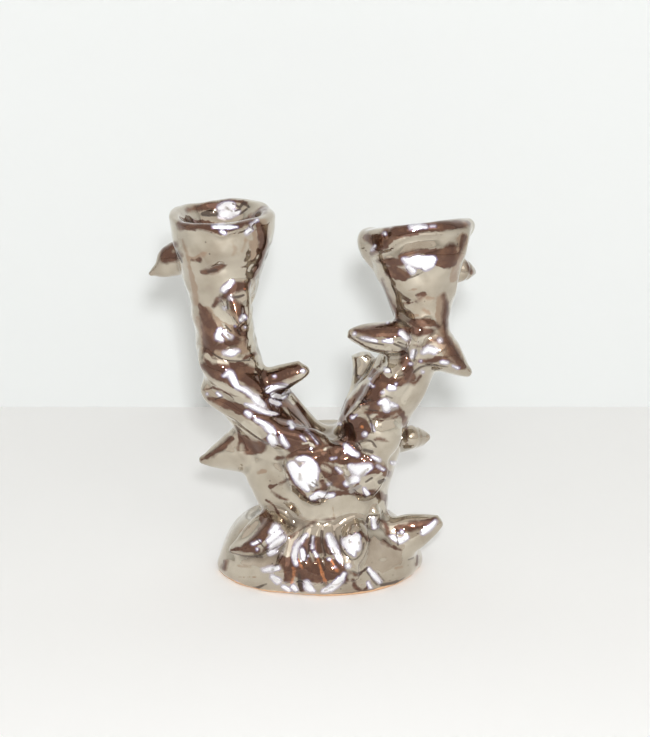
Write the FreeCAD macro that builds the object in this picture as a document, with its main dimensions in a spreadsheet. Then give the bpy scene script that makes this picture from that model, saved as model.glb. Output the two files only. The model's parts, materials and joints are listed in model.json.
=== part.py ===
"""A hand-built clay holder for two taper candles: two thorny branches that fork from one trunk.

Millimetres. +Z is up, +Y is away from the viewer, and the origin is the middle of the flat sole.
Each lump of clay that was made apart and luted on is a solid of its own. It is placed on the skin
of the clay that carries it, and cut back by it, so that the two meet face to face.
"""

import FreeCAD
import Part
import Sketcher
import os
from collections import namedtuple

doc = FreeCAD.newDocument("candle_holder")
sheet = doc.addObject("Spreadsheet::Sheet", "sizes")
aliases = []
pieces = []


def size(alias, value):
    """Writes one driving dimension into the sheet, and gives the expression that reads it."""
    aliases.append(alias)
    row = len(aliases)
    sheet.set(f"A{row}", alias)
    sheet.set(f"B{row}", str(value))
    sheet.setAlias(f"B{row}", alias)
    return f"sizes.{alias}"


def group(prefix, names, values):
    """Several dimensions that belong to one thing, as a list of expressions."""
    return [size(f"{prefix}_{name}", value) for name, value in zip(names, values)]


# ---------------------------------------------------------------- main sizes
foot_length = size("foot_length", 81)
foot_depth = size("foot_depth", 58)
slab_height = size("slab_height", 5)
mound_height = size("mound_height", 17)
trunk_width = size("trunk_width", 61)
trunk_depth = size("trunk_depth", 39)
trunk_height = size("trunk_height", 32)  # from the mound's crown to the fork
left_reach = size("left_reach", 36.8)  # from the middle to the cup's axis
right_reach = size("right_reach", 40.3)
left_height = size("left_height", 62)  # from the fork to the cup's seat
right_height = size("right_height", 50)
left_cup_height = size("left_cup_height", 31.7)  # from the cup's seat to its lip
right_cup_height = size("right_cup_height", 36.5)
bore_diameter = size("bore_diameter", 22.5)
bore_length = size("bore_length", 17)
mouth_flare = size("mouth_flare", 5)
lip_rounding = size("lip_rounding", 1.7)


# ---------------------------------------------------------------- places on the clay
class Station(namedtuple("Station", "x y z width depth")):
    """A level cut through a limb: its centre, width and depth, each of them an expression."""

    def centre(self):
        return self.x, self.y, self.z

    def skin(self, around, up="0", out="0"):
        """The point on the skin at an angle around from +X towards +Y, raised and pushed out."""
        return (
            f"({self.x} + ({self.width} / 2 + {out}) * cos({around}))",
            f"({self.y} + ({self.depth} / 2 + {out}) * sin({around}))",
            f"({self.z} + {up})",
        )


UPRIGHT = ("0", "0", "1")
SEAM = 90  # degrees round a section to where its line begins and ends: at the back


def place(thing, point, turn):
    """Binds where a thing stands, and how it is turned."""
    thing.setExpression("Placement", f"placement(vector({'; '.join(point)}); {turn})")


def facing(direction):
    """The turn that points a thing's own Z along a direction of three expressions."""
    return f"rotation(vector(0; 0; 1); vector({'; '.join(direction)}))"


def ring(name, width, depth, point, direction=UPRIGHT):
    """An elliptical section across a limb. Its width is never less than its depth."""
    section = doc.addObject("Part::Ellipse", name)
    section.setExpression("MajorRadius", f"{width} / 2")
    section.setExpression("MinorRadius", f"{depth} / 2")
    section.Angle1 = section.Angle2 = SEAM
    place(section, point, facing(direction))
    return section


def loft(name, sections):
    """A smooth closed solid through sections."""
    limb = doc.addObject("Part::Loft", f"{name}_clay")
    limb.Sections = sections
    limb.Solid = True
    limb.Ruled = False
    return limb


def between(start, end):
    """The direction from one point to another."""
    return tuple(f"({b} - {a})" for a, b in zip(start, end))


def rolled(name, points, widths, depths=None, last_direction=None):
    """A rolled or pinched length of clay through points, square to its own line at each."""
    sections = []
    for i, point in enumerate(points):
        following = points[min(i + 1, len(points) - 1)]
        along = between(points[max(i - 1, 0)], following)
        if last_direction and i == len(points) - 1:
            along = last_direction
        depth = (depths or widths)[i]
        sections.append(ring(f"{name}_section_{i}", widths[i], depth, point, along))
    return loft(name, sections)


def luted(label, lump, *hosts):
    """Lutes a lump onto its hosts: what would lie inside them is cut away."""
    for host in hosts:
        pressed = doc.addObject("Part::Cut", f"{label}_on_{host.Label}")
        pressed.Base = lump
        pressed.Tool = host
        lump = pressed
    lump.Label = label
    pieces.append(lump)
    return lump


# ---------------------------------------------------------------- foot
# An oval slab, bare of glaze below, under a mound that carries the trunk.
def foot_level(name, shorter, shallower, height):
    """A level oval of the foot, shorter and shallower than the whole foot by so much."""
    less = group(f"foot_{name}", ("shorter", "shallower"), (shorter, shallower))
    length, depth = (f"({whole} - {part})" for whole, part in zip((foot_length, foot_depth), less))
    return Station("0", "0", height, length, depth)


bulge_rise = size("bulge_rise", 2.5)  # from the sole
brow_rise = size("brow_rise", 6)  # from the slab's top, as the slope's is
slope_rise = size("slope_rise", 12)
slab = {
    "sole": foot_level("sole", 3, 3, "0"),
    "bulge": Station("0", "0", bulge_rise, foot_length, foot_depth),
    "top": foot_level("top", 0.5, 0.5, slab_height),
}
mound = {
    "brow": foot_level("brow", 4.5, 1.5, f"({slab_height} + {brow_rise})"),
    "slope": foot_level("slope", 12, 5.5, f"({slab_height} + {slope_rise})"),
    "crown": foot_level("crown", 23, 13, f"({slab_height} + {mound_height})"),
}
foot_lumps = {"foot_slab": slab.values(), "foot_mound": [slab["top"], *mound.values()]}
for label, levels in foot_lumps.items():
    rings = [ring(f"{label}_{i}", s.width, s.depth, s.centre()) for i, s in enumerate(levels)]
    foot_lump = luted(label, loft(label, rings))
foot_mound = foot_lump

# ---------------------------------------------------------------- trunk
# Its lower levels rise from the mound, and its upper ones are set out from the fork, where the
# branches leave it. Each has its centre x, and is narrower and shallower than the whole by so much.
TRUNK = {
    "base": (1.5, 10, 0),
    "waist": (2, 8.5, 2),
    "chest": (0.5, 4.5, 3),
    "shoulder": (1.2, 0, 4),
    "fork": (2.3, 1, 8),
    "crown": (2.4, 17, 16),
}
mound_top = mound["crown"].z
fork_height = f"({mound_top} + {trunk_height})"
waist_rise = size("waist_rise", 7)  # from the mound's top, as the chest's is
chest_rise = size("chest_rise", 15.5)
shoulder_drop = size("shoulder_drop", 8)  # from the fork
crown_rise = size("crown_rise", 3.5)
trunk_levels = (
    mound_top,
    f"({mound_top} + {waist_rise})",
    f"({mound_top} + {chest_rise})",
    f"({fork_height} - {shoulder_drop})",
    fork_height,
    f"({fork_height} + {crown_rise})",
)
trunk_stations = {}
for (station, values), level in zip(TRUNK.items(), trunk_levels):
    x, narrower, shallower = group(f"trunk_{station}", ("x", "narrower", "shallower"), values)
    width, depth = f"({trunk_width} - {narrower})", f"({trunk_depth} - {shallower})"
    trunk_stations[station] = Station(x, "0", level, width, depth)
trunk = luted(
    "trunk",
    loft(
        "trunk",
        [ring(f"trunk_{n}", s.width, s.depth, s.centre()) for n, s in trunk_stations.items()],
    ),
)

# ---------------------------------------------------------------- branches
# Rooted levels: how far out from the middle, rise above the fork, and girth. Raised levels: where
# along the branch's reach and its height the line runs, from 0 to 1, and girth.
LEFT_ROOTED = {"root": (13.5, -9, 24), "shoulder": (16.5, 4.5, 25)}
LEFT_RAISED = {
    "elbow": (0.707, 0.25, 22),
    "bend": (0.883, 0.452, 23.5),
    "wrist": (0.951, 0.661, 23.5),
    "neck": (1.005, 0.839, 22.5),
    "seat": (1, 1, 25),
}
RIGHT_ROOTED = {"root": (15.5, -9, 25), "shoulder": (20, 5.5, 26)}
RIGHT_RAISED = {
    "elbow": (0.633, 0.34, 25),
    "bend": (0.769, 0.52, 23.5),
    "wrist": (0.893, 0.69, 22.5),
    "neck": (0.993, 0.86, 21),
    "seat": (1, 1, 20.5),
}
lean_back, lean_in = group("right_cup_lean", ("back", "inward"), (16, 4))
LEANING = (
    f"(-sin({lean_in}) * cos({lean_back}))",
    f"sin({lean_back})",
    f"(cos({lean_in}) * cos({lean_back}))",
)


def branch(label, side, reach, height, rooted, raised, cup_direction):
    """A branch that rises out of the trunk and ends square to its candle cup."""
    stations = {}
    for station, values in rooted.items():
        out, rise, girth = group(f"{label}_{station}", ("out", "rise", "girth"), values)
        x, z = f"({side} * {out})", f"({fork_height} + {rise})"
        stations[station] = Station(x, "0", z, girth, girth)
    for station, values in raised.items():
        along, up, girth = group(f"{label}_{station}", ("along", "up", "girth"), values)
        x, z = f"({side} * {reach} * {along})", f"({fork_height} + {height} * {up})"
        stations[station] = Station(x, "0", z, girth, girth)
    line = [s.centre() for s in stations.values()]
    girths = [s.width for s in stations.values()]
    clay = rolled(label, line, girths, last_direction=cup_direction)
    return luted(label, clay, trunk), stations


left_branch, left_stations = branch(
    "left_branch", "-1", left_reach, left_height, LEFT_ROOTED, LEFT_RAISED, UPRIGHT
)
right_branch, right_stations = branch(
    "right_branch", "1", right_reach, right_height, RIGHT_ROOTED, RIGHT_RAISED, LEANING
)

# ---------------------------------------------------------------- candle cups
# Outer radius and height along the cup's own axis, from above its seat.
LEFT_CUP = {"stem": (14.2, 5), "belly": (16.6, 12.5), "flare": (18.9, 20.5)}
RIGHT_CUP = {"stem": (12.6, 7), "belly": (15.6, 15), "flare": (20, 25)}


def cup(label, table, lip_width, height, floor_height, seat_station, towards):
    """A turned cup: a flaring wall round a straight bore for the candle, with a rounded lip."""
    floor = size(f"{label}_floor", floor_height)
    rings = {n: group(f"{label}_{n}", ("radius", "rise"), v) for n, v in table.items()}
    rings["lip"] = (f"{size(f'{label}_lip_width', lip_width)} / 2", height)
    bore_radius = f"{bore_diameter} / 2"
    corners = [
        ("0", "0"),
        (f"{seat_station.width} / 2", "0"),
        *rings.values(),
        (f"{bore_radius} + {mouth_flare}", height),
        (bore_radius, f"{floor} + {bore_length}"),
        (bore_radius, floor),
        ("0", floor),
    ]
    # A first guess at each corner, which its two dimensions then pull into place.
    guesses = [(0, 0), (12, 0), *table.values(), (20, 34), (15, 34), (11, 28), (11, 8), (0, 8)]
    body = doc.addObject("PartDesign::Body", f"{label}_body")
    sketch = body.newObject("Sketcher::SketchObject", f"{label}_profile")
    planes = {plane.Role: plane for plane in body.Origin.OriginFeatures}
    sketch.AttachmentSupport = [(planes["XZ_Plane"], "")]
    sketch.MapMode = "FlatFace"
    count = len(corners)
    for i, start in enumerate(guesses):
        end = guesses[(i + 1) % count]
        line = Part.LineSegment(FreeCAD.Vector(*start, 0), FreeCAD.Vector(*end, 0))
        sketch.addGeometry(line, False)
    for i in range(count):
        sketch.addConstraint(Sketcher.Constraint("Coincident", i, 2, (i + 1) % count, 1))
    sketch.addConstraint(Sketcher.Constraint("Coincident", 0, 1, -1, 1))
    for i in range(1, count):
        for kind, guess, value in zip(("DistanceX", "DistanceY"), guesses[i], corners[i]):
            if value == "0":
                point = Sketcher.Constraint("PointOnObject", i, 1, -2 if kind == "DistanceX" else -1)
                sketch.addConstraint(point)
            else:
                number = sketch.addConstraint(Sketcher.Constraint(kind, -1, 1, i, 1, guess))
                sketch.setExpression(f"Constraints[{number}]", value)
    turned = body.newObject("PartDesign::Revolution", f"{label}_turned")
    turned.Profile = sketch
    turned.ReferenceAxis = (sketch, ["V_Axis"])
    turned.Angle = 360
    doc.recompute()
    lip_height = sheet.get(height.removeprefix("sizes."))
    rims = [
        f"Edge{i + 1}"
        for i, edge in enumerate(turned.Shape.Edges)
        if abs(edge.BoundBox.ZMin - lip_height) < 1e-6
    ]
    rounded = body.newObject("PartDesign::Fillet", f"{label}_rounded")
    rounded.Base = (turned, rims)
    rounded.setExpression("Radius", lip_rounding)
    body.Tip = rounded
    place(body, seat_station.centre(), facing(towards))
    stations = {}
    for name, (radius, rise) in rings.items():
        x, y, z = (f"({a} + {d} * {rise})" for a, d in zip(seat_station.centre(), towards))
        stations[name] = Station(x, y, z, f"(2 * {radius})", f"(2 * {radius})")
    return luted(label, body), stations


left_cup, left_cup_stations = cup(
    "left_cup", LEFT_CUP, 40.4, left_cup_height, 6, left_stations["seat"], UPRIGHT
)
right_cup, right_cup_stations = cup(
    "right_cup", RIGHT_CUP, 44.6, right_cup_height, 12.5, right_stations["seat"], LEANING
)


# ---------------------------------------------------------------- coils and strands
def strip(label, hosts, spots, widths, depths=None):
    """A length of clay laid over its hosts, through spots of (station, around, up, out)."""
    points = []
    for i, (station, *numbers) in enumerate(spots):
        around, up, out = group(f"{label}_{i}", ("around", "up", "out"), numbers)
        points.append(station.skin(around, up, out))
    width_cells = [size(f"{label}_{i}_width", width) for i, width in enumerate(widths)]
    depth_cells = None
    if depths:
        depth_cells = [size(f"{label}_{i}_depth", depth) for i, depth in enumerate(depths)]
    return luted(label, rolled(label, points, width_cells, depth_cells), *hosts)


L, R, T = left_stations, right_stations, trunk_stations
saddle_coil = strip(
    "saddle_coil",
    (trunk, left_branch, right_branch),
    [
        (L["elbow"], 20, 8, 1),
        (L["elbow"], 30, 1, 1.5),
        (L["shoulder"], 25, 3, -2),
        (T["crown"], 100, -2, -8),
        (R["shoulder"], 160, -2, -5),
    ],
    (7, 9, 10, 10, 7),
)
strip(
    "back_twig",
    (trunk, saddle_coil, right_branch),
    [
        (R["shoulder"], 158, 1, -4),
        (R["elbow"], 152, -2, -1),
        (R["bend"], 146, -3, 3.5),
        (R["bend"], 146, 7, 6),
    ],
    (9, 10, 9.5, 7.5),
)
left_strand_lower = strip(
    "left_strand_lower",
    (trunk, left_branch),
    [
        (L["bend"], 165, -2, -3),
        (L["bend"], 215, -5, -2.5),
        (L["elbow"], 245, 1, -2),
        (L["shoulder"], 268, 4, -1.5),
        (T["crown"], 262, 0, 0),
        (T["fork"], 272, 0, -1),
    ],
    (7, 10, 10, 10, 9, 6),
)
left_strand_upper = strip(
    "left_strand_upper",
    (trunk, left_branch, left_strand_lower),
    [
        (L["wrist"], 195, 0, -4.5),
        (L["wrist"], 235, -6, -4),
        (L["bend"], 275, 0, -4),
        (L["elbow"], 292, 2, -4),
        (L["shoulder"], 305, 3, -4),
    ],
    (9, 13, 14, 13, 9),
)
right_knuckle = strip(
    "right_knuckle",
    (trunk, right_branch),
    [
        (R["shoulder"], 282, -9, -3.5),
        (R["shoulder"], 284, -5, -3.5),
        (R["shoulder"], 286, 1, -3.5),
        (R["shoulder"], 288, 7, -4),
        (R["shoulder"], 290, 11, -4.5),
    ],
    (9, 17, 21, 17, 8),
    (8, 14, 16, 14, 7),
)
right_strand = strip(
    "right_strand",
    (trunk, right_branch, right_knuckle),
    [
        (R["shoulder"], 235, 5, -3),
        (R["elbow"], 248, 3, -3),
        (R["bend"], 255, 3, -3),
        (R["wrist"], 265, 2, -3.5),
    ],
    (9, 12, 12, 9),
)

# ---------------------------------------------------------------- tongues over the trunk's front
tongue_left = strip(
    "tongue_left",
    (trunk, left_branch, left_strand_lower, right_knuckle),
    [
        (T["chest"], 268, -1, -0.5),
        (T["chest"], 266, 3, -0.5),
        (T["shoulder"], 262, 0, -1),
        (T["fork"], 260, 0, -1.5),
    ],
    (6, 13, 19, 20),
    (4, 7, 9, 9),
)
strip(
    "tongue_right",
    (trunk, right_branch, right_knuckle, tongue_left),
    [
        (T["chest"], 308, -1, -0.5),
        (T["chest"], 307, 3, -0.5),
        (T["shoulder"], 305, 0, -1),
        (T["fork"], 300, -1, -1.5),
    ],
    (6, 12, 17, 17),
    (4, 7, 9, 9),
)

# ---------------------------------------------------------------- pleats that root the trunk
# Five ridges fan out from one gather on the trunk down to the foot's front edge.
PLEATS = 5
fan = ("around", "step", "up")
gather_start, gather_step, gather_up = group("pleat_gather", fan, (249, 9, 3))
hem_start, hem_step, hem_up = group("pleat_hem", fan, (249, 10, 2.5))
pleat_width_hem = size("pleat_width_hem", 5.6)
pleat_width_brow = size("pleat_width_brow", 6.2)
pleat_width_slope = size("pleat_width_slope", 4.6)
pleat_width_gather = size("pleat_width_gather", 3)
pleat_widths = (pleat_width_hem, pleat_width_brow, pleat_width_slope, pleat_width_gather)
pleat_sunk = size("pleat_sunk", -0.8)
pleats = []
for i in range(PLEATS):
    gathered = f"({gather_start} + {i} * {gather_step})"
    spread = f"({hem_start} + {i} * {hem_step})"
    halfway = f"(({gathered} + {spread}) / 2)"
    line = [
        slab["top"].skin(spread, hem_up, pleat_sunk),
        mound["brow"].skin(spread, "0", pleat_sunk),
        mound["slope"].skin(halfway, "0", pleat_sunk),
        T["base"].skin(gathered, gather_up, pleat_sunk),
    ]
    label = f"root_pleat_{i + 1}"
    ridge = rolled(label, line, pleat_widths)
    pleats.append(luted(label, ridge, trunk, foot_mound))

strip(
    "root_lobe",
    (trunk, foot_mound, *pleats[-2:]),
    [
        (mound["brow"], 291, 3, -0.5),
        (mound["slope"], 294, 3, 0),
        (T["base"], 300, 4, -1),
    ],
    (4, 11, 7),
    (3, 6.5, 5),
)
strip(
    "trunk_nub",
    (trunk,),
    [(T["waist"], 320, 2, -1), (T["waist"], 321, -2, -0.5), (T["waist"], 322, -5, -1.4)],
    (3.5, 5.5, 3.5),
)

# ---------------------------------------------------------------- thorns
NUMBERS = (
    "around", "up", "heading", "rise", "length", "girth", "flatness", "hook", "sunk", "fullness", "tip",
)
# Its outline below the middle, as shares of its length, its girth and its hook.
THORN_SHOULDER = (0.25, 0.74, 0.05)
MIDDLE_REACH = 0.6
MIDDLE_HOOK = 0.35
HEEL_GIRTH = 0.9


def thorn(label, hosts, station, *numbers):
    """A pinched thorn on a station's skin. It heads out level by its rise, and hooks downwards.

    Its fullness is the share of its girth that is left at its middle, and its tip is blunt.
    """
    cells = group(label, NUMBERS, numbers)
    around, up, heading, rise, length, girth, flatness, hook, sunk, fullness, tip = cells
    outline = [
        (f"-{sunk}", f"({HEEL_GIRTH} * {girth})", "0"),
        [f"({share} * {full})" for share, full in zip(THORN_SHOULDER, (length, girth, hook))],
        (f"({MIDDLE_REACH} * {length})", f"({fullness} * {girth})", f"({MIDDLE_HOOK} * {hook})"),
        (length, tip, hook),
    ]
    sections = []
    for i, (reach, wide, drop) in enumerate(outline):
        sections.append(ring(f"{label}_{i}", wide, f"{wide} * {flatness}", (drop, "0", reach)))
    horn = loft(label, sections)
    place(horn, station.skin(around, up), f"rotation({heading}; 90 - {rise}; 0)")
    return luted(label, horn, *hosts)


LC, RC = left_cup_stations, right_cup_stations
thorn("thorn_left_cup", (left_cup,), LC["belly"], 155, 0, 165, -20, 15, 15.5, 0.75, 3, 2, 0.6, 2)
thorn(
    "thorn_left_front", (left_cup, left_branch),
    L["seat"], 288, 3, 288, -38, 13.5, 12.5, 0.9, 2, 2.5, 0.58, 2,
)
thorn(
    "thorn_left_inner", (left_branch, left_strand_upper, saddle_coil),
    L["bend"], 345, -4, 357, 28, 17, 14.5, 0.68, -1, 5, 0.6, 4.5,
)
thorn(
    "thorn_left_low", (trunk, left_branch, left_strand_lower),
    T["shoulder"], 180, 4, 178, -10, 17.5, 20, 0.8, 1, 6, 0.48, 2,
)
thorn(
    "thorn_foot_left", (trunk, foot_mound),
    T["base"], 222, 1, 196, -20, 19, 18, 0.75, 1, 6, 0.55, 2,
)
thorn(
    "thorn_foot_right", (foot_mound, trunk),
    mound["crown"], 340, -4, 0, 11, 21, 17, 0.75, -2, 6, 0.58, 3.5,
)
thorn(
    "thorn_right_inner", (right_branch, right_strand, right_cup),
    R["neck"], 222, 2, 184, 12, 21, 17.5, 0.68, 2, 5, 0.55, 2.2,
)
thorn("thorn_right_outer", (right_branch,), R["wrist"], 350, 4, 345, -32, 14, 18, 0.75, 1, 6, 0.52, 2)
thorn("thorn_right_cup", (right_cup,), RC["belly"], 35, 3, 20, -15, 9.5, 10.5, 0.8, 1, 2, 0.58, 2.2)
thorn(
    "thorn_right_back", (trunk, right_branch),
    T["shoulder"], 30, 5, 12, -3, 14.5, 15, 0.85, 1, 6, 0.55, 3.5,
)
thorn("thorn_left_rear", (left_branch,), L["wrist"], 100, 0, 100, 20, 14, 13.5, 0.8, 2, 5, 0.52, 2.2)
thorn("thorn_trunk_rear", (trunk,), T["chest"], 75, 0, 80, -10, 15, 15.5, 0.8, 2, 6, 0.52, 2.2)

# ---------------------------------------------------------------- checks and files
doc.recompute()
failed = [o.Label for o in doc.Objects if "Invalid" in o.State or "Error" in o.State]
if failed:
    raise RuntimeError(f"these objects failed: {failed}")
for piece in pieces:
    shape = piece.Shape
    if shape.isNull() or not shape.isValid():
        raise RuntimeError(f"{piece.Label} has no valid shape")
    if len(shape.Solids) != 1:
        raise RuntimeError(f"{piece.Label} is {len(shape.Solids)} solids, not one")
os.makedirs("parts", exist_ok=True)
for piece in pieces:
    piece.Shape.exportStep(f"parts/{piece.Label}.step")
    print(f"{piece.Label:18} {piece.Shape.Volume:8.0f} mm3")
print(f"{len(pieces)} pieces from {len(aliases)} driving dimensions")
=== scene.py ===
# %% [markdown]
# # A thorny two-branch candle holder in lustre-glazed clay
#
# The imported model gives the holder's lumps of clay as plain, exact solids. This lesson works them
# the way a potter works soft clay. It turns each lump into a distance field, presses the joints
# together, pinches and dents the skin, and cuts the result back into one piece per lump.
# A metallic brown glaze, a bare clay sole, a pale table and soft lights finish the picture.

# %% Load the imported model
import json
import math
import time

import bpy
import numpy as np
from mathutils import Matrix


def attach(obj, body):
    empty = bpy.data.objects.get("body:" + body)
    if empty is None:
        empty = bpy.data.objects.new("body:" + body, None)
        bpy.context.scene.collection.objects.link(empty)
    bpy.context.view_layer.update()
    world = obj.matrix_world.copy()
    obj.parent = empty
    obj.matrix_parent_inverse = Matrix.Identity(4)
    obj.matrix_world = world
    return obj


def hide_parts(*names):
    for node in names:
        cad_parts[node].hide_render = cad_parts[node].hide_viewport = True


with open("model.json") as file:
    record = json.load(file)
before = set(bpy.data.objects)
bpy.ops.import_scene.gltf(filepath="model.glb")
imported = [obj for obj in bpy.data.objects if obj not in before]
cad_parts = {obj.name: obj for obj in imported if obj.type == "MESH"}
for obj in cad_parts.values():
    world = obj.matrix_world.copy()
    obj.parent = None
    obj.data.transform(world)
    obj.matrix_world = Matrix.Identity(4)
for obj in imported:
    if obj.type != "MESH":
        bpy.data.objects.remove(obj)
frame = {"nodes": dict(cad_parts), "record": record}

import openvdb as vdb
from mathutils import Vector

started = time.time()
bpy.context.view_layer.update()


def since():
    """Seconds since the scene began, for the notes that each step prints."""
    return f"{time.time() - started:.1f} s"


# %% [markdown]
# ## The camera
#
# The photograph looks down on the holder at 20 degrees from 0.8 m away. Its long side is the
# height, so the lens is worked out on that. Later steps cast rays from this camera, to find where
# a mark that is measured in the picture lies on the clay.

# %% The camera
PITCH = math.radians(20)
DISTANCE = 0.8
AIM = Vector((0.0025, 0, 0.0845))
FORWARD = Vector((0, math.cos(PITCH), -math.sin(PITCH)))

camera = bpy.data.objects.new("camera", bpy.data.cameras.new("camera"))
bpy.context.collection.objects.link(camera)
camera.data.sensor_width = 36
camera.data.lens = 100.6
camera.location = AIM - DISTANCE * FORWARD
camera.rotation_euler = (math.radians(90) - PITCH, 0, 0)
bpy.context.scene.camera = camera
print("camera at", tuple(round(v, 3) for v in camera.location))

# %% [markdown]
# ## Distance fields
#
# A distance field is a grid of numbers: how far each point is from the clay's skin, below zero
# inside. A mesh could be sculpted by moving its points, but two lumps would never blend, and thin
# folds would tear. A field joins, swells and carves with plain arithmetic, so it suits clay.
# OpenVDB makes one from each CAD node's triangles, in a window of one shared grid, in millimetres.

# %% A grid in millimetres
VOXEL = 0.5
BAND = 6.0  # how far from the skin the distances are kept
LOW = np.array((-72.0, -42.0, -4.0))
HIGH = np.array((69.0, 44.0, 154.0))
FIRST = np.floor(LOW / VOXEL).astype(int)
SHAPE = np.ceil((HIGH - LOW) / VOXEL).astype(int)


def window(low, high):
    """The slices of the shared grid between two corners in millimetres."""
    start = np.clip(np.floor(np.asarray(low) / VOXEL).astype(int) - FIRST, 0, SHAPE)
    stop = np.clip(np.ceil(np.asarray(high) / VOXEL).astype(int) + 1 - FIRST, 0, SHAPE)
    return tuple(slice(int(a), int(b)) for a, b in zip(start, stop))


def corner(cut):
    """A window's first point, in OpenVDB's whole numbers."""
    return tuple(int(s.start + f) for s, f in zip(cut, FIRST))


def places(cut):
    """The x, y and z of a window's points, shaped so that they broadcast."""
    axes = []
    for part, first in zip(cut, FIRST):
        steps = np.arange(part.start, part.stop) + first
        axes.append((steps * VOXEL).astype(np.float32))
    return np.meshgrid(*axes, indexing="ij", sparse=True)


WHOLE = window(LOW, HIGH)
print("grid of", tuple(SHAPE), "points,", VOXEL, "mm apart")

# %% A field for each lump


def field_of(points, **faces):
    """The distance field of a closed mesh, as an OpenVDB grid."""
    scale = vdb.createLinearTransform(VOXEL)
    return vdb.FloatGrid.createLevelSetFromPolygons(
        points, transform=scale, halfWidth=BAND / VOXEL, **faces
    )


class Lump:
    """One CAD node's distances, in the window of the shared grid where it lies."""

    def __init__(self, name):
        mesh = frame["nodes"][name].data
        mesh.calc_loop_triangles()
        points = np.empty(len(mesh.vertices) * 3, np.float32)
        mesh.vertices.foreach_get("co", points)
        points = points.reshape(-1, 3) * 1000
        corners = np.empty(len(mesh.loop_triangles) * 3, np.int32)
        mesh.loop_triangles.foreach_get("vertices", corners)
        self.name = name
        self.cut = window(points.min(axis=0) - BAND, points.max(axis=0) + BAND)
        self.distance = np.empty([s.stop - s.start for s in self.cut], np.float32)
        field = field_of(points, triangles=corners.reshape(-1, 3).astype(np.uint32))
        field.copyToArray(self.distance, ijk=corner(self.cut))


lumps = {name: Lump(name) for name in sorted(frame["nodes"])}
print(f"{len(lumps)} lumps, after {since()}")

# %% [markdown]
# ## Pressing the joints together
#
# The lumps meet face to face, with a hard crease round each joint. A potter wipes slip into it.
# Growing the whole skin outwards by a radius and shrinking it back again does the same: creases
# fill to a fillet of that radius, and nothing else moves. The crotches of the fork and the roots
# of the thorns are filled more than the edges of the coils and pleats, so two such fields are
# blended by how near each kind of lump is.

# %% The nearest lump and the next one
nearest = np.full(SHAPE, BAND, np.float32)
second = np.full(SHAPE, BAND, np.float32)
for lump in lumps.values():
    near, next_one = nearest[lump.cut], second[lump.cut]
    np.minimum(next_one, np.maximum(near, lump.distance), out=next_one)
    np.minimum(near, lump.distance, out=near)
print(f"union, after {since()}")

# %% Press the clay
WIDE_FILLET = 3.2  # millimetres, in the crotches of the fork and at the roots of the thorns
FINE_FILLET = 1.2  # round the small lumps at the trunk's foot
FINE_REACH = 3.0  # how far round a small lump its fillet stays fine
WIDE_SHARE = 0.85  # how much of the wide fillet shows
FINE_LOSS = 0.25  # how much of that is lost on a small lump


def grown(field, reach):
    """The field's skin moved outwards by a reach, as a fresh field of true distances."""
    grid = vdb.FloatGrid(BAND)
    grid.copyFromArray(field, ijk=corner(WHOLE))
    grid.transform = vdb.createLinearTransform(VOXEL)
    points, _, quads = grid.convertToPolygons(isovalue=reach)
    fresh = np.empty(field.shape, np.float32)
    field_of(points, quads=quads).copyToArray(fresh, ijk=corner(WHOLE))
    return fresh


def pressed(field, radius):
    """Fills creases to a radius: the skin is grown by it, and then shrunk back."""
    return grown(field, radius) + np.float32(radius)


def nearness(names, reach):
    """1 on the named lumps, falling to 0 at a reach from them."""
    weight = np.zeros(SHAPE, np.float32)
    for name in names:
        lump = lumps[name]
        part = weight[lump.cut]
        np.maximum(part, np.clip(1 - lump.distance / reach, 0, 1), out=part)
    return weight * weight * (3 - 2 * weight)


FINE_LUMPS = [n for n in lumps if n.startswith(("root_pleat", "root_lobe", "trunk_nub"))]
clay = pressed(nearest, FINE_FILLET)
print(f"fine joints pressed, after {since()}")
wide = pressed(nearest, WIDE_FILLET)
fine = nearness(FINE_LUMPS, FINE_REACH)
clay += (wide - clay) * (WIDE_SHARE - FINE_LOSS * fine)
del wide, fine
print(f"joints pressed, after {since()}")

# %% [markdown]
# ## Tools for working the clay
#
# Three tools shape the skin. A daub adds a pinch of clay along a line of balls, and a hollow takes
# one away, both with a soft joint. A mark follows the skin like a fingertip or a wooden tool: it
# presses a groove or raises a ridge, and a marked fold raises one side only, so that a flap's edge
# stays crisp. Marks are measured in millimetres in the picture's plane through the middle of the
# holder, and rays from the camera carry them onto the clay.

# %% Read the field


def sampled(field, points):
    """A field's values at points in millimetres, between its grid points."""
    spots = points / VOXEL - FIRST
    base = np.clip(np.floor(spots).astype(int), 0, SHAPE - 2)
    part = np.clip(spots - base, 0, 1).astype(np.float32)
    total = np.zeros(len(points), np.float32)
    for step in np.ndindex(2, 2, 2):
        shares = [part[:, i] if on else 1 - part[:, i] for i, on in enumerate(step)]
        i, j, k = (base + step).T
        total += np.prod(shares, axis=0) * field[i, j, k]
    return total


def slopes(points):
    """The direction out of the clay at points in millimetres."""
    out = np.empty((len(points), 3), np.float32)
    for axis in range(3):
        move = np.zeros(3, np.float32)
        move[axis] = VOXEL
        out[:, axis] = sampled(clay, points + move) - sampled(clay, points - move)
    return out / np.maximum(np.linalg.norm(out, axis=1, keepdims=True), 1e-6)


EYE = np.array(camera.location) * 1000
STEPS = np.arange(-75, 75, 0.25)  # millimetres along a ray, before and behind the picture's plane


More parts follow.
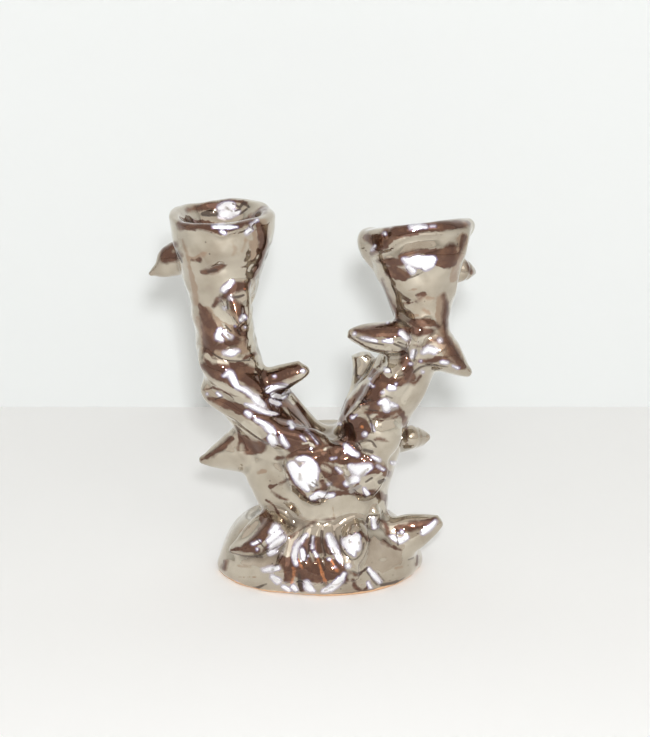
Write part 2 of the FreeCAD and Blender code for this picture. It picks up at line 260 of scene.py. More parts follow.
def on_skin(spots):
    """Where the camera's rays through (x, z) spots of the picture's plane meet the clay."""
    spots = np.array(spots, float)
    middle = np.stack([spots[:, 0], np.zeros(len(spots)), spots[:, 1]], axis=1)
    along = middle - EYE
    along /= np.linalg.norm(along, axis=1, keepdims=True)
    rays = middle[:, None, :] + STEPS[None, :, None] * along[:, None, :]
    values = sampled(clay, rays.reshape(-1, 3)).reshape(len(spots), len(STEPS))
    inside = values < 0
    first = np.where(inside.any(axis=1), inside.argmax(axis=1), np.abs(values).argmin(axis=1))
    return rays[np.arange(len(spots)), first]


print("tools read a field of", clay.size, "numbers")

# %% Daubs and hollows
FAR_AWAY = 1e3  # millimetres, farther than anything on the holder


def smooth_min(a, b, width):
    """The smaller of two distances, rounded off where they come within a width of each other."""
    blend = np.clip(width - np.abs(a - b), 0, None) / width
    return np.minimum(a, b) - blend * blend * (width / 4)


def smooth_max(a, b, width):
    """The larger of two distances, rounded off in the same way."""
    return -smooth_min(-a, -b, width)


def smooth_line(points, spacing=1.0):
    """A smooth curve through points of any kind, with a point about every millimetre."""
    points = np.array(points, float)
    padded = np.vstack([2 * points[0] - points[1], points, 2 * points[-1] - points[-2]])
    line = []
    for a, b, c, d in zip(padded, padded[1:], padded[2:], padded[3:]):
        count = max(1, round(np.linalg.norm(c - b) / spacing))
        for t in np.arange(count) / count:
            line.append(0.5 * (2 * b + (c - a) * t + (2 * a - 5 * b + 4 * c - d) * t**2
                               + (3 * b - 3 * c + d - a) * t**3))
    return np.array(line + [points[-1]])


def from_segment(x, y, z, start, along):
    """How far along a segment each point lies, from 0 to 1, and the offset from there to it."""
    length2 = max(along @ along, 1e-6)
    dx, dy, dz = x - start[0], y - start[1], z - start[2]
    part = np.clip((dx * along[0] + dy * along[1] + dz * along[2]) / length2, 0, 1)
    return part, dx - part * along[0], dy - part * along[1], dz - part * along[2]


def ball_line(cut, balls):
    """Distances to a line of balls (x, y, z, radius)."""
    x, y, z = places(cut)
    nearest_ball = np.full(np.broadcast(x, y, z).shape, FAR_AWAY, np.float32)
    chain = smooth_line(balls, 1.5)
    for ball, next_ball in zip(chain, chain[1:]):
        part, dx, dy, dz = from_segment(x, y, z, ball[:3], next_ball[:3] - ball[:3])
        radius = ball[3] + part * (next_ball[3] - ball[3])
        reach = np.sqrt(dx * dx + dy * dy + dz * dz) - radius
        np.minimum(nearest_ball, reach, out=nearest_ball)
    return nearest_ball


def worked_window(balls, margin):
    """The window round a line of balls, with a margin."""
    spots = np.array([b[:3] for b in balls], float)
    room = max(b[3] for b in balls) + margin
    return window(spots.min(axis=0) - room, spots.max(axis=0) + room)


def daub(balls, soft):
    """Adds clay along a line of balls."""
    cut = worked_window(balls, soft + 2)
    clay[cut] = smooth_min(clay[cut], ball_line(cut, balls), soft)


def hollow(balls, soft):
    """Takes clay away along a line of balls."""
    cut = worked_window(balls, soft + 2)
    clay[cut] = smooth_max(clay[cut], -ball_line(cut, balls), soft)


# %% Marks on the skin
MARK_REACH = 2.5  # how many widths from its line a mark is worked out
CRISPNESS = 0.55  # how wide the sharp side of a fold is, against a width of 1
FADE = 4  # a mark fades over one part in this many of its length, at each end


def mark(width, height, spots, fold=False):
    """Raises (or with a height below 0, presses) the skin along a line, fading at both ends.

    A fold raises only the left-hand side of the line, seen from outside along it. The other side
    falls away at once, which leaves a crisp edge.
    """
    line = on_skin(smooth_line(spots)).astype(np.float32)
    for _ in range(2):
        line[1:-1] = (line[:-2] + 2 * line[1:-1] + line[2:]) / 4
    room = MARK_REACH * width + 1
    cut = window(line.min(axis=0) - room, line.max(axis=0) + room)
    x, y, z = places(cut)
    best = np.full(np.broadcast(x, y, z).shape, FAR_AWAY**2, np.float32)
    travel = np.zeros_like(best)
    across = np.zeros_like(best)
    normals = slopes(line)
    count = len(line) - 1
    for i, (start, end) in enumerate(zip(line, line[1:])):
        along = end - start
        part, dx, dy, dz = from_segment(x, y, z, start, along)
        square = dx * dx + dy * dy + dz * dz
        nearer = square < best
        best[nearer] = square[nearer]
        travel[nearer] = ((i + part) / count)[nearer]
        if fold:
            left = np.cross(normals[i], along)
            across[nearer] = (dx * left[0] + dy * left[1] + dz * left[2])[nearer]
    fade = np.clip(np.minimum(travel, 1 - travel) * FADE, 0, 1)
    if fold:
        crisp = np.where(across < 0, CRISPNESS / width, 1)
        best = best / crisp**2
    clay[cut] -= height * np.exp(-best / width**2) * fade * fade * (3 - 2 * fade)


print(f"tools ready, after {since()}")

# %% [markdown]
# ## The unevenness of hand-rolled clay
#
# Nothing on the real holder is turned or moulded. Slow swellings about a thumb's width across, and
# smaller ones about a fingertip's, cover all of it. They come from random numbers on a coarse grid,
# with a fixed seed, joined smoothly by B-splines, so they are the same at every run.

# %% Lumps and dimples
SWELLINGS = ((9.0, 1.1, 11), (5.0, 0.6, 23), (2.6, 0.16, 37))  # spacing, height and seed


def swelling(spacing, seed):
    """A smooth random field with swellings a given number of millimetres apart."""
    counts = np.ceil((HIGH - LOW) / spacing).astype(int) + 4
    field = np.random.default_rng(seed).normal(size=counts).astype(np.float32)
    for axis in range(3):
        t = (np.arange(SHAPE[axis]) + FIRST[axis]) * VOXEL - LOW[axis]
        t = np.clip(t / spacing, 0, counts[axis] - 4.001)
        i = np.floor(t).astype(int)
        f = t - i
        shares = (
            (1 - f) ** 3 / 6,
            (3 * f**3 - 6 * f**2 + 4) / 6,
            (-3 * f**3 + 3 * f**2 + 3 * f + 1) / 6,
            f**3 / 6,
        )
        weights = np.zeros((SHAPE[axis], counts[axis]), np.float32)
        for step, share in enumerate(shares):
            weights[np.arange(SHAPE[axis]), i + step] += share
        field = np.moveaxis(np.tensordot(weights, field, axes=(1, axis)), 0, axis)
    return field


for spacing, height, seed in SWELLINGS:
    clay -= swelling(spacing, seed) * np.float32(height)
print(f"swellings added, after {since()}")

# %% [markdown]
# ## Pinching the thorns and the right lip
#
# The CAD thorns are plain horns. The real ones were pinched between finger and thumb: fat at the
# root, flat or keeled, with a blunt, slightly hooked point. Balls of clay from root to point give
# each its own body, and build up the right cup's folded lip and the stub's broken end in the same
# way. Each line of balls has the softness of its joint first, and each ball is x, y, z and radius,
# all in millimetres.

# %% The thorns and the right lip
# Clay is taken away first, beside the horns and under a lip that are too full.
HOLLOWS = {
    "above the thorn on the left cup": (1, [
        (-67.8, 8, 130.9, 6), (-68, 8, 126.1, 6), (-70, 8, 122.8, 6)]),
    "beside the thorn outside the right branch": (1, [
        (58, -6, 102, 8), (60.8, -6.5, 96.9, 8), (63.5, -7, 92.6, 8)]),
    "under the right lip": (2, [
        (68.1, 5, 132.6, 12), (66, 5, 125.8, 12), (64.8, 5, 119.3, 12)]),
}
for soft, balls in HOLLOWS.values():
    hollow(balls, soft)

PINCHES = {
    "left cup, outside": (2.0, [
        (-56, 8, 127.7, 4.8), (-57.9, 8, 126.9, 3.8), (-60.3, 8, 124, 2.4),
        (-63.1, 8, 121.8, 1.5), (-64.7, 8, 120.6, 0.9)]),
    "left branch, front": (2.0, [
        (-31.1, -10.5, 120.7, 5.2), (-29.6, -12, 116.8, 4.2), (-28.1, -13.5, 112.5, 2.6),
        (-27.3, -14.5, 110.1, 1.3)]),
    "left branch, inside": (2.5, [
        (-21.9, -3, 78, 5.2), (-14.1, -4, 81.6, 4.4), (-7.9, -5, 84.5, 3.2), (-5.6, -5, 85.3, 2.2)]),
    "trunk, low on the left": (3.5, [
        (-30.6, 0, 51.6, 8), (-37.3, 0, 47.8, 4.6), (-42.5, 0, 46.1, 2.2), (-45.7, 0, 46.1, 1.1)]),
    "foot, left": (3.0, [
        (-17, -19, 24.4, 5.5), (-22.8, -21, 19.8, 4.2), (-28.7, -21, 17.2, 2.8),
        (-33.4, -20, 15.9, 1.3)]),
    "foot, right": (3.0, [
        (31.5, -8, 12.9, 6.5), (39.3, -8, 17.3, 4.9), (44.4, -8, 20.3, 3), (47.1, -8, 22, 1.6)]),
    "right branch, inside": (3.0, [
        (28.8, -11, 100.9, 6.2), (21.2, -11, 100.9, 5), (15.8, -10, 101.7, 3),
        (12.8, -10, 102.9, 1.2)]),
    "right branch, outside": (3.5, [
        (46.7, -6, 93.8, 7.6), (51.7, -7, 89.7, 4.4), (55.2, -7, 86.8, 2.2), (57.2, -7, 85.6, 1.2)]),
    "right cup, outside": (2.5, [
        (55.1, 10, 121.4, 4.6), (58, 12, 120.4, 2.8), (60, 13, 119.7, 1.3)]),
    "right branch, back": (2.5, [
        (36.7, 8, 52.6, 4.8), (40.3, 10, 51.8, 3.2), (42.7, 10, 51.8, 1.8)]),
    "right lip, left end": (2.5, [
        (20.2, 8, 133.7, 5.2), (20.5, 7, 130.4, 4.5), (22.1, 6, 127.5, 3.3)]),
    "right lip, fold": (2.5, [
        (20.1, 5, 133.8, 4.4), (23.4, 0, 136, 4.4), (26.6, -5, 138.7, 3.6), (29.5, -8, 140.7, 2.4)]),
    "right lip, front": (1.6, [
        (29.1, -9, 142.4, 1.8), (35, -10, 143.5, 2), (41.8, -9, 143.6, 2.2), (48, -6, 143.5, 2.5),
        (52.9, 0, 142.1, 2.8), (56.7, 6, 140.4, 3)]),
    "right lip, far corner": (2.0, [
        (43.6, 11, 137.6, 1.8), (49.1, 12, 137.7, 2), (53.4, 13, 138, 2.3),
        (56.1, 14, 137.7, 2.1), (57, 10.5, 138.6, 2.6), (56.2, 7, 138.6, 2.6)]),
    "right lip, outer end": (2.5, [
        (53.2, 14, 133.5, 3.2), (53.6, 10.5, 133.8, 3.4), (53.6, 7, 134, 3.4),
        (53, 3.5, 134.5, 3.2), (52.6, 2, 138.4, 2.8), (54.3, 5.5, 137.8, 2.9), (54.6, 9, 137, 3),
        (53.4, 13, 136.3, 2.8)]),
    "back twig, broken end": (2.5, [
        (16.3, 8, 74.7, 3.2), (17, 9, 79.8, 3.5), (17.4, 10, 83.8, 3.6)]),
}
for soft, balls in PINCHES.values():
    daub(balls, soft)
print(f"{len(PINCHES)} pinches of clay, after {since()}")

# %% [markdown]
# ## Marks on the cups and the foot
#
# The lips were pulled out by hand, so they roll over and dip, and the walls keep the dents of
# fingertips. On the foot, the pleats run on down to the sole. Each mark gives its width, its height
# and the line that it follows, and True where it is a fold.

# %% Marks on the cups and the foot
MARKS = [
    # the left lip's rolled edge, with its dip at the front
    (3.2, 0.9, [
        (-54, 140.8), (-50.6, 140), (-45.6, 140.8), (-41.9, 140), (-39.6, 138.8), (-37, 137.2),
        (-33.9, 138.8), (-29.7, 140), (-26.7, 141.2), (-23.6, 143.9), (-20.6, 147.4)], True),
    # the pinch in the left lip
    (1.6, -0.5, [(-39.5, 141.9), (-36.9, 139.2), (-34.3, 141.2)]),
    # a fingernail's dent in the left cup
    (2.2, -0.9, [(-44.1, 123.7), (-41, 124.1), (-37.9, 125.3), (-34.5, 126.9)]),
    # a soft dent above it
    (3.0, -0.6, [(-50.4, 129.3), (-47, 128.5), (-43.6, 129.7)]),
    # a crease down the left cup's right side
    (2.0, -0.5, [(-26, 138), (-25.6, 132.5), (-25.7, 127.3), (-24.6, 121.3)]),
    # the fold beside it
    (3.0, 0.6, [(-21.3, 144.3), (-20.3, 136.4), (-21.5, 128.5), (-23.9, 121.7)]),
    # the right lip's rolled edge
    (3.2, 0.9, [
        (18.1, 132.9), (21.1, 131.7), (25.7, 132.1), (29.5, 134.1), (31.7, 136), (36.7, 137.2),
        (43.1, 138), (49.9, 138.8), (56, 140)], True),
    # the hollow under the right lip
    (3.5, -0.3, [
        (18.1, 127.7), (25.4, 129.3), (31.8, 131.3), (40.5, 133.7), (50, 134.8), (55.3, 135.2)]),
    # the band below that hollow
    (3.0, 0.35, [(20.4, 126.1), (26.5, 126.9), (31.1, 130.1), (40.5, 132.5), (50, 134.1)], True),
    # a long dent in the right cup
    (3.0, -0.7, [(27.3, 122.9), (31.9, 121.7), (35.7, 121.7), (40.7, 124.1)]),
    # a small dent lower down
    (1.8, -0.35, [(32.1, 111.3), (35.9, 110.9), (39, 112.1)]),
    # another small dent
    (2.5, -0.45, [(35.8, 116.1), (39.7, 114.1), (45.1, 113.7)]),
    # the first pleat runs on down to the sole
    (3.2, 0.9, [(-6.3, 5.2), (-10, -1.8), (-12.4, -9.4)]),
    # the second pleat
    (3.2, 0.9, [(-1.9, 4.4), (-2.7, -2.7), (-3.2, -9.9)]),
    # the third pleat
    (3.2, 0.9, [(2.9, 5.2), (4.5, -1.8), (5.7, -9)]),
    # the fourth pleat
    (3.0, 0.7, [(7.7, 7), (9.7, 1.7), (11, -4.5)]),
    # the fold between the first two
    (1.3, -0.7, [(-8, 2.6), (-7.6, -4.5), (-6.8, -11.2)]),
    # the fold between the next two
    (1.3, -0.7, [(0.5, 3.5), (1.7, -3.2), (2.5, -10.8)]),
]
for entry in MARKS:
    mark(*entry)
print(f"{len(MARKS)} marks, after {since()}")

# %% [markdown]
# ## Where the glaze broke
#
# A lustre glaze is several tones at once. It pools to pale pewter and breaks to brown where the clay
# below is convex or the coat is thinly laid. The strokes paint the rest as the camera sees it: brown
# that is partly the glaze's own and partly a painted reflection of the dim room, painted shade that
# goes nearly black in a crease, painted highlights in near-white where the flash would glint, and a
# few painted orange glints. The strokes were laid one region after another. Each is a line of spots:
# x and z in the picture's plane, and a radius, all in millimetres. The painted highlights swell a
# little out of the clay, and the lines of painted shade lie in grooves.

# %% The glaze's strokes
GLAZE = {
    "broad brown grounds": [
        ("brown", [(-42.1, 87.2, 2.3), (-37.5, 84.7, 3.1), (-30.5, 83.1, 3.5), (-22, 78.9, 4.7),
            (-14.3, 72.2, 5.1), (-7.3, 60.9, 4.3), (-0.3, 51.2, 3.5)]),
        ("brown", [(-41.6, 71.8, 1), (-32.7, 68.1, 2), (-23.7, 64.3, 2.4), (-16, 58, 3.5),
            (-8.9, 52, 3.5), (-0.3, 47.8, 3.2)]),
        ("brown", [(3.7, 49.5, 3.5), (10.4, 50.3, 4.3), (15.5, 46.9, 3.2), (21.5, 45.2, 1.6)]),
        ("brown", [(9.5, 66.4, 2), (12.3, 62.2, 3.5), (17, 59.6, 3.5), (13.1, 54.6, 3.9)]),
        ("brown", [(12.3, 72.2, 2), (18.5, 74.7, 3.5), (22.4, 70.6, 2.7), (20.9, 66.4, 2.3)]),
        ("brown", [(21.5, 83.1, 1.6), (25.5, 79.3, 2.7), (31.7, 79.3, 1.9), (36.3, 81, 1.9)]),
        ("brown", [(1.3, 43.5, 2), (6.1, 39.2, 3.2), (10, 34.9, 2.4)]),
        ("brown", [(18.7, 41.8, 2.4), (22.7, 42.6, 2.4), (27.4, 40.1, 1.6)]),
        ("brown", [(33.1, 92.1, 1.2), (33.9, 87.2, 2.3), (35.2, 81.4, 2.3)]),
        ("brown", [(-14.4, 2.6, 2.4), (-7.6, -1, 4.8), (-0.3, -1.8, 5.6), (6.9, -1.8, 4),
            (10.6, -6.3, 1.6)]),
        ("brown", [(-7.5, 7.9, 3.2), (-1.1, 9.2, 3.6), (5.3, 7.9, 3.2)]),
        ("brown", [(-21.8, 21.9, 2), (-21.1, 17.5, 2.4), (-25.1, 11.8, 2), (-30, 7.9, 1.6)]),
        ("tan", [(-43.3, 107.6, 2.3), (-41.1, 100.3, 4.6), (-39.7, 94.2, 4.6)]),
        ("tan", [(-33.3, 105.2, 3.5), (-30.3, 98.3, 3.5), (-29.2, 92.9, 2.7)]),
        ("tan", [(47.4, 112.5, 2.3), (47.2, 105.2, 1.9), (48.4, 97.9, 1.5), (51.7, 91.3, 3.1),
            (55.3, 85.5, 1.6)]),
    ],
    "left cup": [
        ("brown", [(-49.3, 148.2, 0.9), (-45.5, 149, 1.3), (-40.9, 149.8, 1.7), (-37.5, 149.8, 1.5)]),
        ("brown", [(-36.4, 151.3, 0.8), (-31.4, 151.7, 0.8), (-27.3, 151, 0.8)]),
        ("painted_shade", [(-43.6, 146.7, 0.8), (-41, 147, 1.3), (-38.7, 146.7, 0.9)]),
        ("painted_highlight", [(-37.2, 149, 1), (-34.9, 149.8, 1.4), (-32.2, 150.2, 1.1)]),
        ("painted_highlight", [(-36.4, 146.7, 1.5), (-33.4, 147, 1.7), (-30.4, 147.4, 0.6)]),
        ("painted_shade", [(-32.2, 150.6, 0.4), (-29.6, 149.4, 0.5), (-28.4, 151, 0.5), (-26.2, 149.4, 0.5)]),
        ("painted_shade", [(-31.5, 147.8, 0.3), (-29.6, 148.6, 0.3)]),
        ("painted_shade", [(-29.6, 146.7, 0.3), (-27, 148.6, 0.4)]),
        ("brown", [(-51.7, 142.3, 2), (-47.9, 142.3, 2.1), (-43.3, 142.3, 2.1), (-39.6, 141.2, 2),
            (-36.6, 140, 1.7)]),
        ("brown", [(-35, 140.8, 1.1), (-31.2, 141.9, 1.3), (-27.4, 143.9, 1.5), (-23.6, 146.3, 1.5),
            (-20.5, 148.6, 1.3)]),
        ("painted_highlight", [(-39.9, 141.6, 0.4), (-36.9, 141.6, 0.8), (-33.5, 141.6, 0.7),
            (-30.8, 141.6, 0.3)]),
        ("painted_highlight", [(-36.9, 139.6, 0.5), (-35.8, 139.2, 0.6)]),
        ("painted_highlight", [(-27.1, 139.6, 0.8), (-25.5, 140.8, 0.6)]),
        ("painted_highlight", [(-25.1, 142.7, 0.3), (-23.2, 144.3, 0.4)]),
        ("painted_shade", [(-26.3, 141.9, 0.2), (-24.8, 140.8, 0.3)]),
        ("tan", [(-21, 143.5, 1.5), (-19.9, 139.2, 1.7), (-20.3, 134.1, 1.5)]),
        ("brown", [(-22.9, 142.7, 1.1), (-21.4, 138.8, 1.9), (-20.7, 133.3, 2.3),
            (-21.5, 128.5, 1.9), (-23.5, 124.9, 1.3), (-24.6, 121.7, 0.9)]),
        ("tan", [(-24.4, 139.6, 0.8), (-23.7, 134.1, 1.3), (-24.6, 128.5, 0.9)]),
        ("tan", [(-25.2, 135.2, 1.1), (-24.5, 130.1, 1.1)]),
        ("tan", [(-32.5, 135.2, 0.3), (-31.7, 132.5, 0.6), (-32.9, 130.1, 0.3)]),
        ("tan", [(-27.5, 136.4, 0.4), (-29.1, 132.1, 0.4)]),
        ("tan", [(-49.3, 129.3, 0.8), (-46.3, 129.3, 1.1), (-43.6, 130.9, 1)]),
        ("brown", [(-48.2, 128.5, 0.4), (-45.1, 128.5, 0.6)]),
        ("brown", [(-44.1, 123.7, 0.7), (-41, 124.1, 1.6), (-37.9, 125.3, 1.3), (-34.9, 126.5, 0.4)]),
        ("painted_shade", [(-42.2, 123.7, 0.5), (-39.1, 124.5, 0.6)]),
        ("tan", [(-51.8, 136.4, 0.5), (-50, 130.5, 0.5), (-49, 125.3, 0.6), (-48, 120.5, 1),
            (-47.3, 115.7, 1.2), (-47, 111.3, 1.2)]),
    ],
    "left branch": [
        ("brown", [(-45.5, 110.5, 1), (-43.7, 106, 2.3), (-42.2, 101.1, 3.2), (-41.9, 96.2, 3.2),
            (-42.4, 91.3, 2.3)]),
        ("tan", [(-46.4, 105.2, 0.8), (-45, 98.3, 1), (-44, 91.3, 1.2)]),
        ("brown", [(-40.5, 110, 0.7), (-38.2, 112.5, 1.2), (-35.5, 114.1, 1.2), (-33.9, 114.9, 1.2)]),
        ("painted_highlight", [(-36.6, 116.5, 0.8), (-35, 118.1, 1), (-32.7, 120.1, 0.5)]),
        ("brown", [(-33.9, 116.1, 1.8), (-30.8, 118.1, 2.1), (-27.7, 118.1, 1.7), (-26.6, 120.1, 0.7)]),
        ("painted_shade", [(-33.2, 113.7, 0.5), (-30.9, 113.7, 0.6), (-28.6, 114.5, 0.4)]),
        ("brown", [(-33.2, 112.1, 1.8), (-30.9, 108.8, 2.3), (-28.7, 106, 1.5)]),
        ("painted_highlight", [(-33.6, 113.3, 0.6)]),
        ("painted_highlight", [(-29.8, 104.4, 0.6), (-28.7, 105.6, 0.8)]),
        ("brown", [(-31.8, 101.1, 1.3), (-30.3, 98.7, 1.2)]),
        ("painted_shade", [(-31.1, 100.3, 0.5), (-30.3, 98.7, 0.4)]),
        ("tan", [(-41, 106, 0.8), (-37.2, 104.4, 0.8), (-33.3, 102.7, 0.8), (-27.9, 102.7, 0.6)]),
        ("painted_shade", [(-36, 102.3, 0.3), (-33.8, 99.9, 0.3)]),
        ("painted_shade", [(-30.2, 103.2, 0.3), (-27.6, 101.9, 0.3)]),
        ("painted_highlight", [(-38, 100.3, 0.8), (-38.8, 97.4, 1.2), (-37.7, 96.6, 1)]),
        ("painted_highlight", [(-36.1, 99.1, 0.8), (-34.2, 97.4, 0.8)]),
        ("brown", [(-40.5, 92.9, 1.3), (-36.6, 93.8, 1.7), (-31.9, 95.8, 1.9)]),
        ("brown", [(-28, 98.7, 1), (-27.7, 94.6, 0.9)]),
        ("painted_highlight", [(-36.2, 90.9, 0.7), (-33.9, 90.9, 1.1), (-31.2, 91.7, 0.6)]),
        ("painted_shade", [(-41.3, 90.9, 0.3), (-37.4, 88.4, 0.3), (-32, 87.6, 0.3), (-26.6, 88, 0.3)]),
        ("brown", [(-29.3, 88.4, 0.6), (-26.9, 89.7, 1), (-24.6, 90.5, 0.8)]),
        ("brown", [(-44.4, 89.2, 0.6), (-41.4, 85.5, 1.4), (-37.5, 85.1, 1.4), (-32.4, 85.9, 1.2),
            (-29.3, 86.4, 0.8)]),
        ("brown", [(-42.2, 84.3, 1.6), (-38.7, 82.2, 1.6)]),
    ],
    "left strands": [
        ("brown", [(-44.5, 85.5, 1.6), (-40.6, 82.6, 2.1), (-36, 79.7, 1.7), (-31.4, 76, 1.2),
            (-26.8, 72.7, 1)]),
        ("brown", [(-28.2, 84.7, 1.9), (-23.6, 80.6, 3.1), (-19.7, 74.7, 3.1), (-16.7, 68.9, 3.1),
            (-12.8, 63, 3.1), (-8.1, 58, 3.1), (-3.4, 52.9, 2.8)]),
        ("brown", [(-29.3, 55.4, 1.6), (-27, 52, 2.8), (-23.9, 50.8, 2.4), (-20.7, 54.1, 1.6)]),
        ("painted_highlight", [(-36.8, 81.4, 0.5), (-34.4, 82.6, 1.3), (-33.3, 80.2, 1.4), (-31.8, 77.2, 1),
            (-28.3, 75.2, 0.8), (-25.6, 73.1, 1), (-23.7, 71.4, 1.6), (-21.7, 69.3, 0.9)]),
        ("brown", [(-29.4, 83.1, 1.6), (-26.7, 79.7, 2.3), (-22.1, 76.4, 2.5), (-18.2, 72.2, 2),
            (-14.3, 68.1, 1.8), (-10.4, 63, 1.6)]),
        ("brown", [(-22, 80.2, 1.4), (-16.9, 81.4, 2.3), (-11.9, 82.6, 2.7), (-8, 84.3, 1.7)]),
        ("painted_highlight", [(-6, 83.5, 0.6)]),
        ("painted_highlight", [(-17.3, 81.4, 0.4)]),
        ("painted_highlight", [(-19.7, 75.6, 1.1), (-16.2, 76.8, 0.8), (-12.3, 77.2, 0.5)]),
        ("painted_highlight", [(-17.4, 73.5, 1.2), (-14.3, 72.7, 0.9), (-11.9, 74.7, 0.6)]),
        ("painted_highlight", [(-18.6, 71, 1), (-15.5, 69.7, 0.9)]),
        ("painted_shade", [(-19, 73.1, 0.2), (-15, 75.2, 0.2), (-12.3, 75.6, 0.2)]),
        ("painted_shade", [(-17, 71.4, 0.2), (-13.5, 71, 0.3)]),
        ("painted_shade", [(-22.1, 74.3, 0.3), (-17, 77.7, 0.3), (-10.7, 76.8, 0.3)]),
        ("painted_shade", [(-14.3, 73.1, 0.4), (-10.8, 74.7, 0.5), (-8, 77.7, 0.4)]),
        ("brown", [(-13.5, 73.1, 1.4), (-10.4, 70.6, 1.6), (-7.7, 66.4, 1.3), (-5.7, 63, 0.8)]),
        ("tan", [(-10, 75.6, 1.4), (-8, 72.2, 1.2)]),
        ("brown", [(-45.1, 75.6, 0.3), (-40, 76.4, 0.6), (-35.3, 74.3, 0.5), (-30.7, 73.1, 0.3)]),
        ("brown", [(-43.2, 72.2, 0.7), (-38.5, 70.6, 1.4), (-32.7, 68.1, 1.8), (-26.9, 65.1, 1.6),
            (-22.2, 63.4, 1.4), (-16.7, 61.3, 1.4)]),
        ("painted_highlight", [(-28.4, 69.7, 0.4), (-24.5, 68.1, 0.9), (-20.6, 66.4, 0.9), (-15.9, 65.5, 0.4)]),
        ("painted_highlight", [(-28.4, 66.4, 0.7), (-26.9, 65.1, 0.7)]),
        ("painted_highlight", [(-24.5, 63, 0.5), (-21.8, 61.8, 0.9), (-19.1, 59.2, 1.4), (-17.5, 57.5, 0.8)]),
        ("painted_highlight", [(-18.3, 55.4, 1.6), (-17.6, 53.3, 1.2)]),
        ("painted_highlight", [(-14.8, 56.3, 0.6), (-13.6, 53.7, 1), (-12.5, 52, 0.6)]),
        ("painted_highlight", [(-11.2, 61.8, 0.8), (-10.4, 60.1, 0.9)]),
        ("brown", [(-14, 58, 1.5), (-11.3, 56.3, 1.6), (-8.5, 58.8, 1.2)]),
        ("brown", [(-7.7, 53.7, 1.8), (-3.4, 51.2, 1.6), (1.3, 47.8, 1.8)]),
        ("brown", [(-29.8, 54.1, 1.2), (-26.6, 52.5, 1.6), (-21.9, 53.3, 1)]),
        ("brown", [(-28.6, 49.5, 1), (-24.7, 49.5, 0.6)]),
        ("painted_shade", [(-10.4, 65.5, 0.2), (-6.1, 61.3, 0.3), (-2.2, 56.3, 0.3), (0.9, 52.5, 0.3)]),
        ("painted_highlight", [(-4.2, 58.8, 0.2), (-0.3, 53.3, 0.2)]),
        ("brown", [(-46.4, 46.1, 0.4), (-42.1, 48.6, 1), (-38.1, 51.6, 1.4), (-34.5, 55.4, 1.2)]),
        ("brown", [(-32.4, 60.9, 0.4), (-30.9, 55.4, 0.4), (-31.8, 50.3, 0.3)]),
    ],
    "trunk": [
        ("tan", [(-23.2, 40.5, 0.8), (-21.2, 41.4, 1)]),
        ("brown", [(-19.3, 34.5, 0.7), (-16.1, 35.8, 0.6), (-13, 37.1, 0.6), (-10.2, 38.8, 0.6)]),
        ("brown", [(-18.5, 32.3, 0.4), (-15.4, 30.2, 0.6), (-12.6, 28.9, 0.4)]),
        ("painted_highlight", [(-10.5, 43.9, 1.6), (-8.6, 40.5, 2.4), (-7, 37.1, 2.1), (-4.6, 33.6, 1)]),
        ("painted_highlight", [(-8.2, 46.5, 0.8), (-5, 46.5, 1.2), (-2.6, 43.1, 2), (-1.5, 39.6, 1.4),
            (-2.7, 36.2, 1.6)]),
        ("painted_highlight", [(-5, 41.8, 2.4), (-3.8, 37.9, 2)]),
        ("painted_highlight", [(-2.7, 29.7, 1), (0.1, 31, 1.3), (2.9, 30.6, 1), (5.7, 31, 0.6)]),
        ("brown", [(1.3, 36.6, 1), (2.9, 34, 1.2), (0.5, 33.6, 0.6)]),
        ("tan", [(-0.3, 35.8, 0.6), (1.7, 33.2, 0.6)]),
        ("brown", [(-16, 46.9, 1.1), (-12.5, 47.3, 0.9), (-8.5, 48.6, 0.8)]),
        ("brown", [(-13.7, 43.5, 0.5), (-11, 38.4, 0.6), (-7.4, 32.8, 0.7), (-3.9, 28.9, 0.6),
            (0.5, 27.6, 0.4)]),
        ("tan", [(-6.6, 42.2, 0.6), (-3.8, 43.1, 0.8)]),
        ("tan", [(-7.8, 39.6, 0.4), (-6.6, 37.1, 0.6)]),
        ("tan", [(-0.7, 36.2, 1), (1.3, 34, 0.8)]),
        ("brown", [(-2.7, 32.3, 0.4), (0.5, 33.6, 0.5)]),
        ("brown", [(1.3, 42.2, 0.9), (4.5, 39.2, 1.6), (7.7, 35.8, 1.8), (10.4, 33.6, 1.2)]),
        ("brown", [(-7.4, 50.3, 1), (-1.4, 46.9, 1.4), (4.5, 46.1, 1.4), (10.4, 45.2, 1.3),
            (16.3, 46.1, 1), (21.4, 46.1, 1)]),
        ("brown", [(1.3, 31, 0.4), (6.5, 32.3, 0.7), (12.4, 32.3, 0.6)]),
        ("painted_highlight", [(12.4, 43.5, 0.8), (15.9, 41.8, 2.4), (19.9, 43.1, 1.3)]),
        ("painted_highlight", [(14.4, 37.9, 1.6), (11.2, 35.8, 1)]),
        ("painted_highlight", [(18, 33.6, 0.6), (19.2, 31.5, 0.8)]),
        ("brown", [(13.2, 32.8, 0.8), (15.6, 35.8, 0.6)]),
        ("painted_shade", [(18.7, 36.6, 0.4), (21.1, 38.4, 0.5)]),
        ("painted_highlight", [(10.8, 52, 1), (12.7, 49.5, 1.3), (15.1, 48.2, 0.9)]),
        ("painted_shade", [(14.3, 51.6, 0.3), (17.1, 54.1, 0.4), (20.6, 54.1, 0.4), (22.6, 51.6, 0.4)]),
        ("painted_shade", [(17.9, 50.3, 0.7), (21, 49.5, 0.7)]),
        ("brown", [(5.6, 52, 1.6), (9.6, 54.6, 1.2)]),
        ("brown", [(4.9, 47.8, 0.8), (7.6, 49.5, 0.8)]),
        ("brown", [(10.3, 60.5, 1.4), (13.1, 58, 1.8), (17, 59.6, 1.8), (15, 63.4, 1.3)]),
        ("painted_highlight", [(18.2, 57.1, 0.7)]),
        ("painted_highlight", [(20.5, 61.3, 0.3), (21.7, 58.8, 0.3)]),
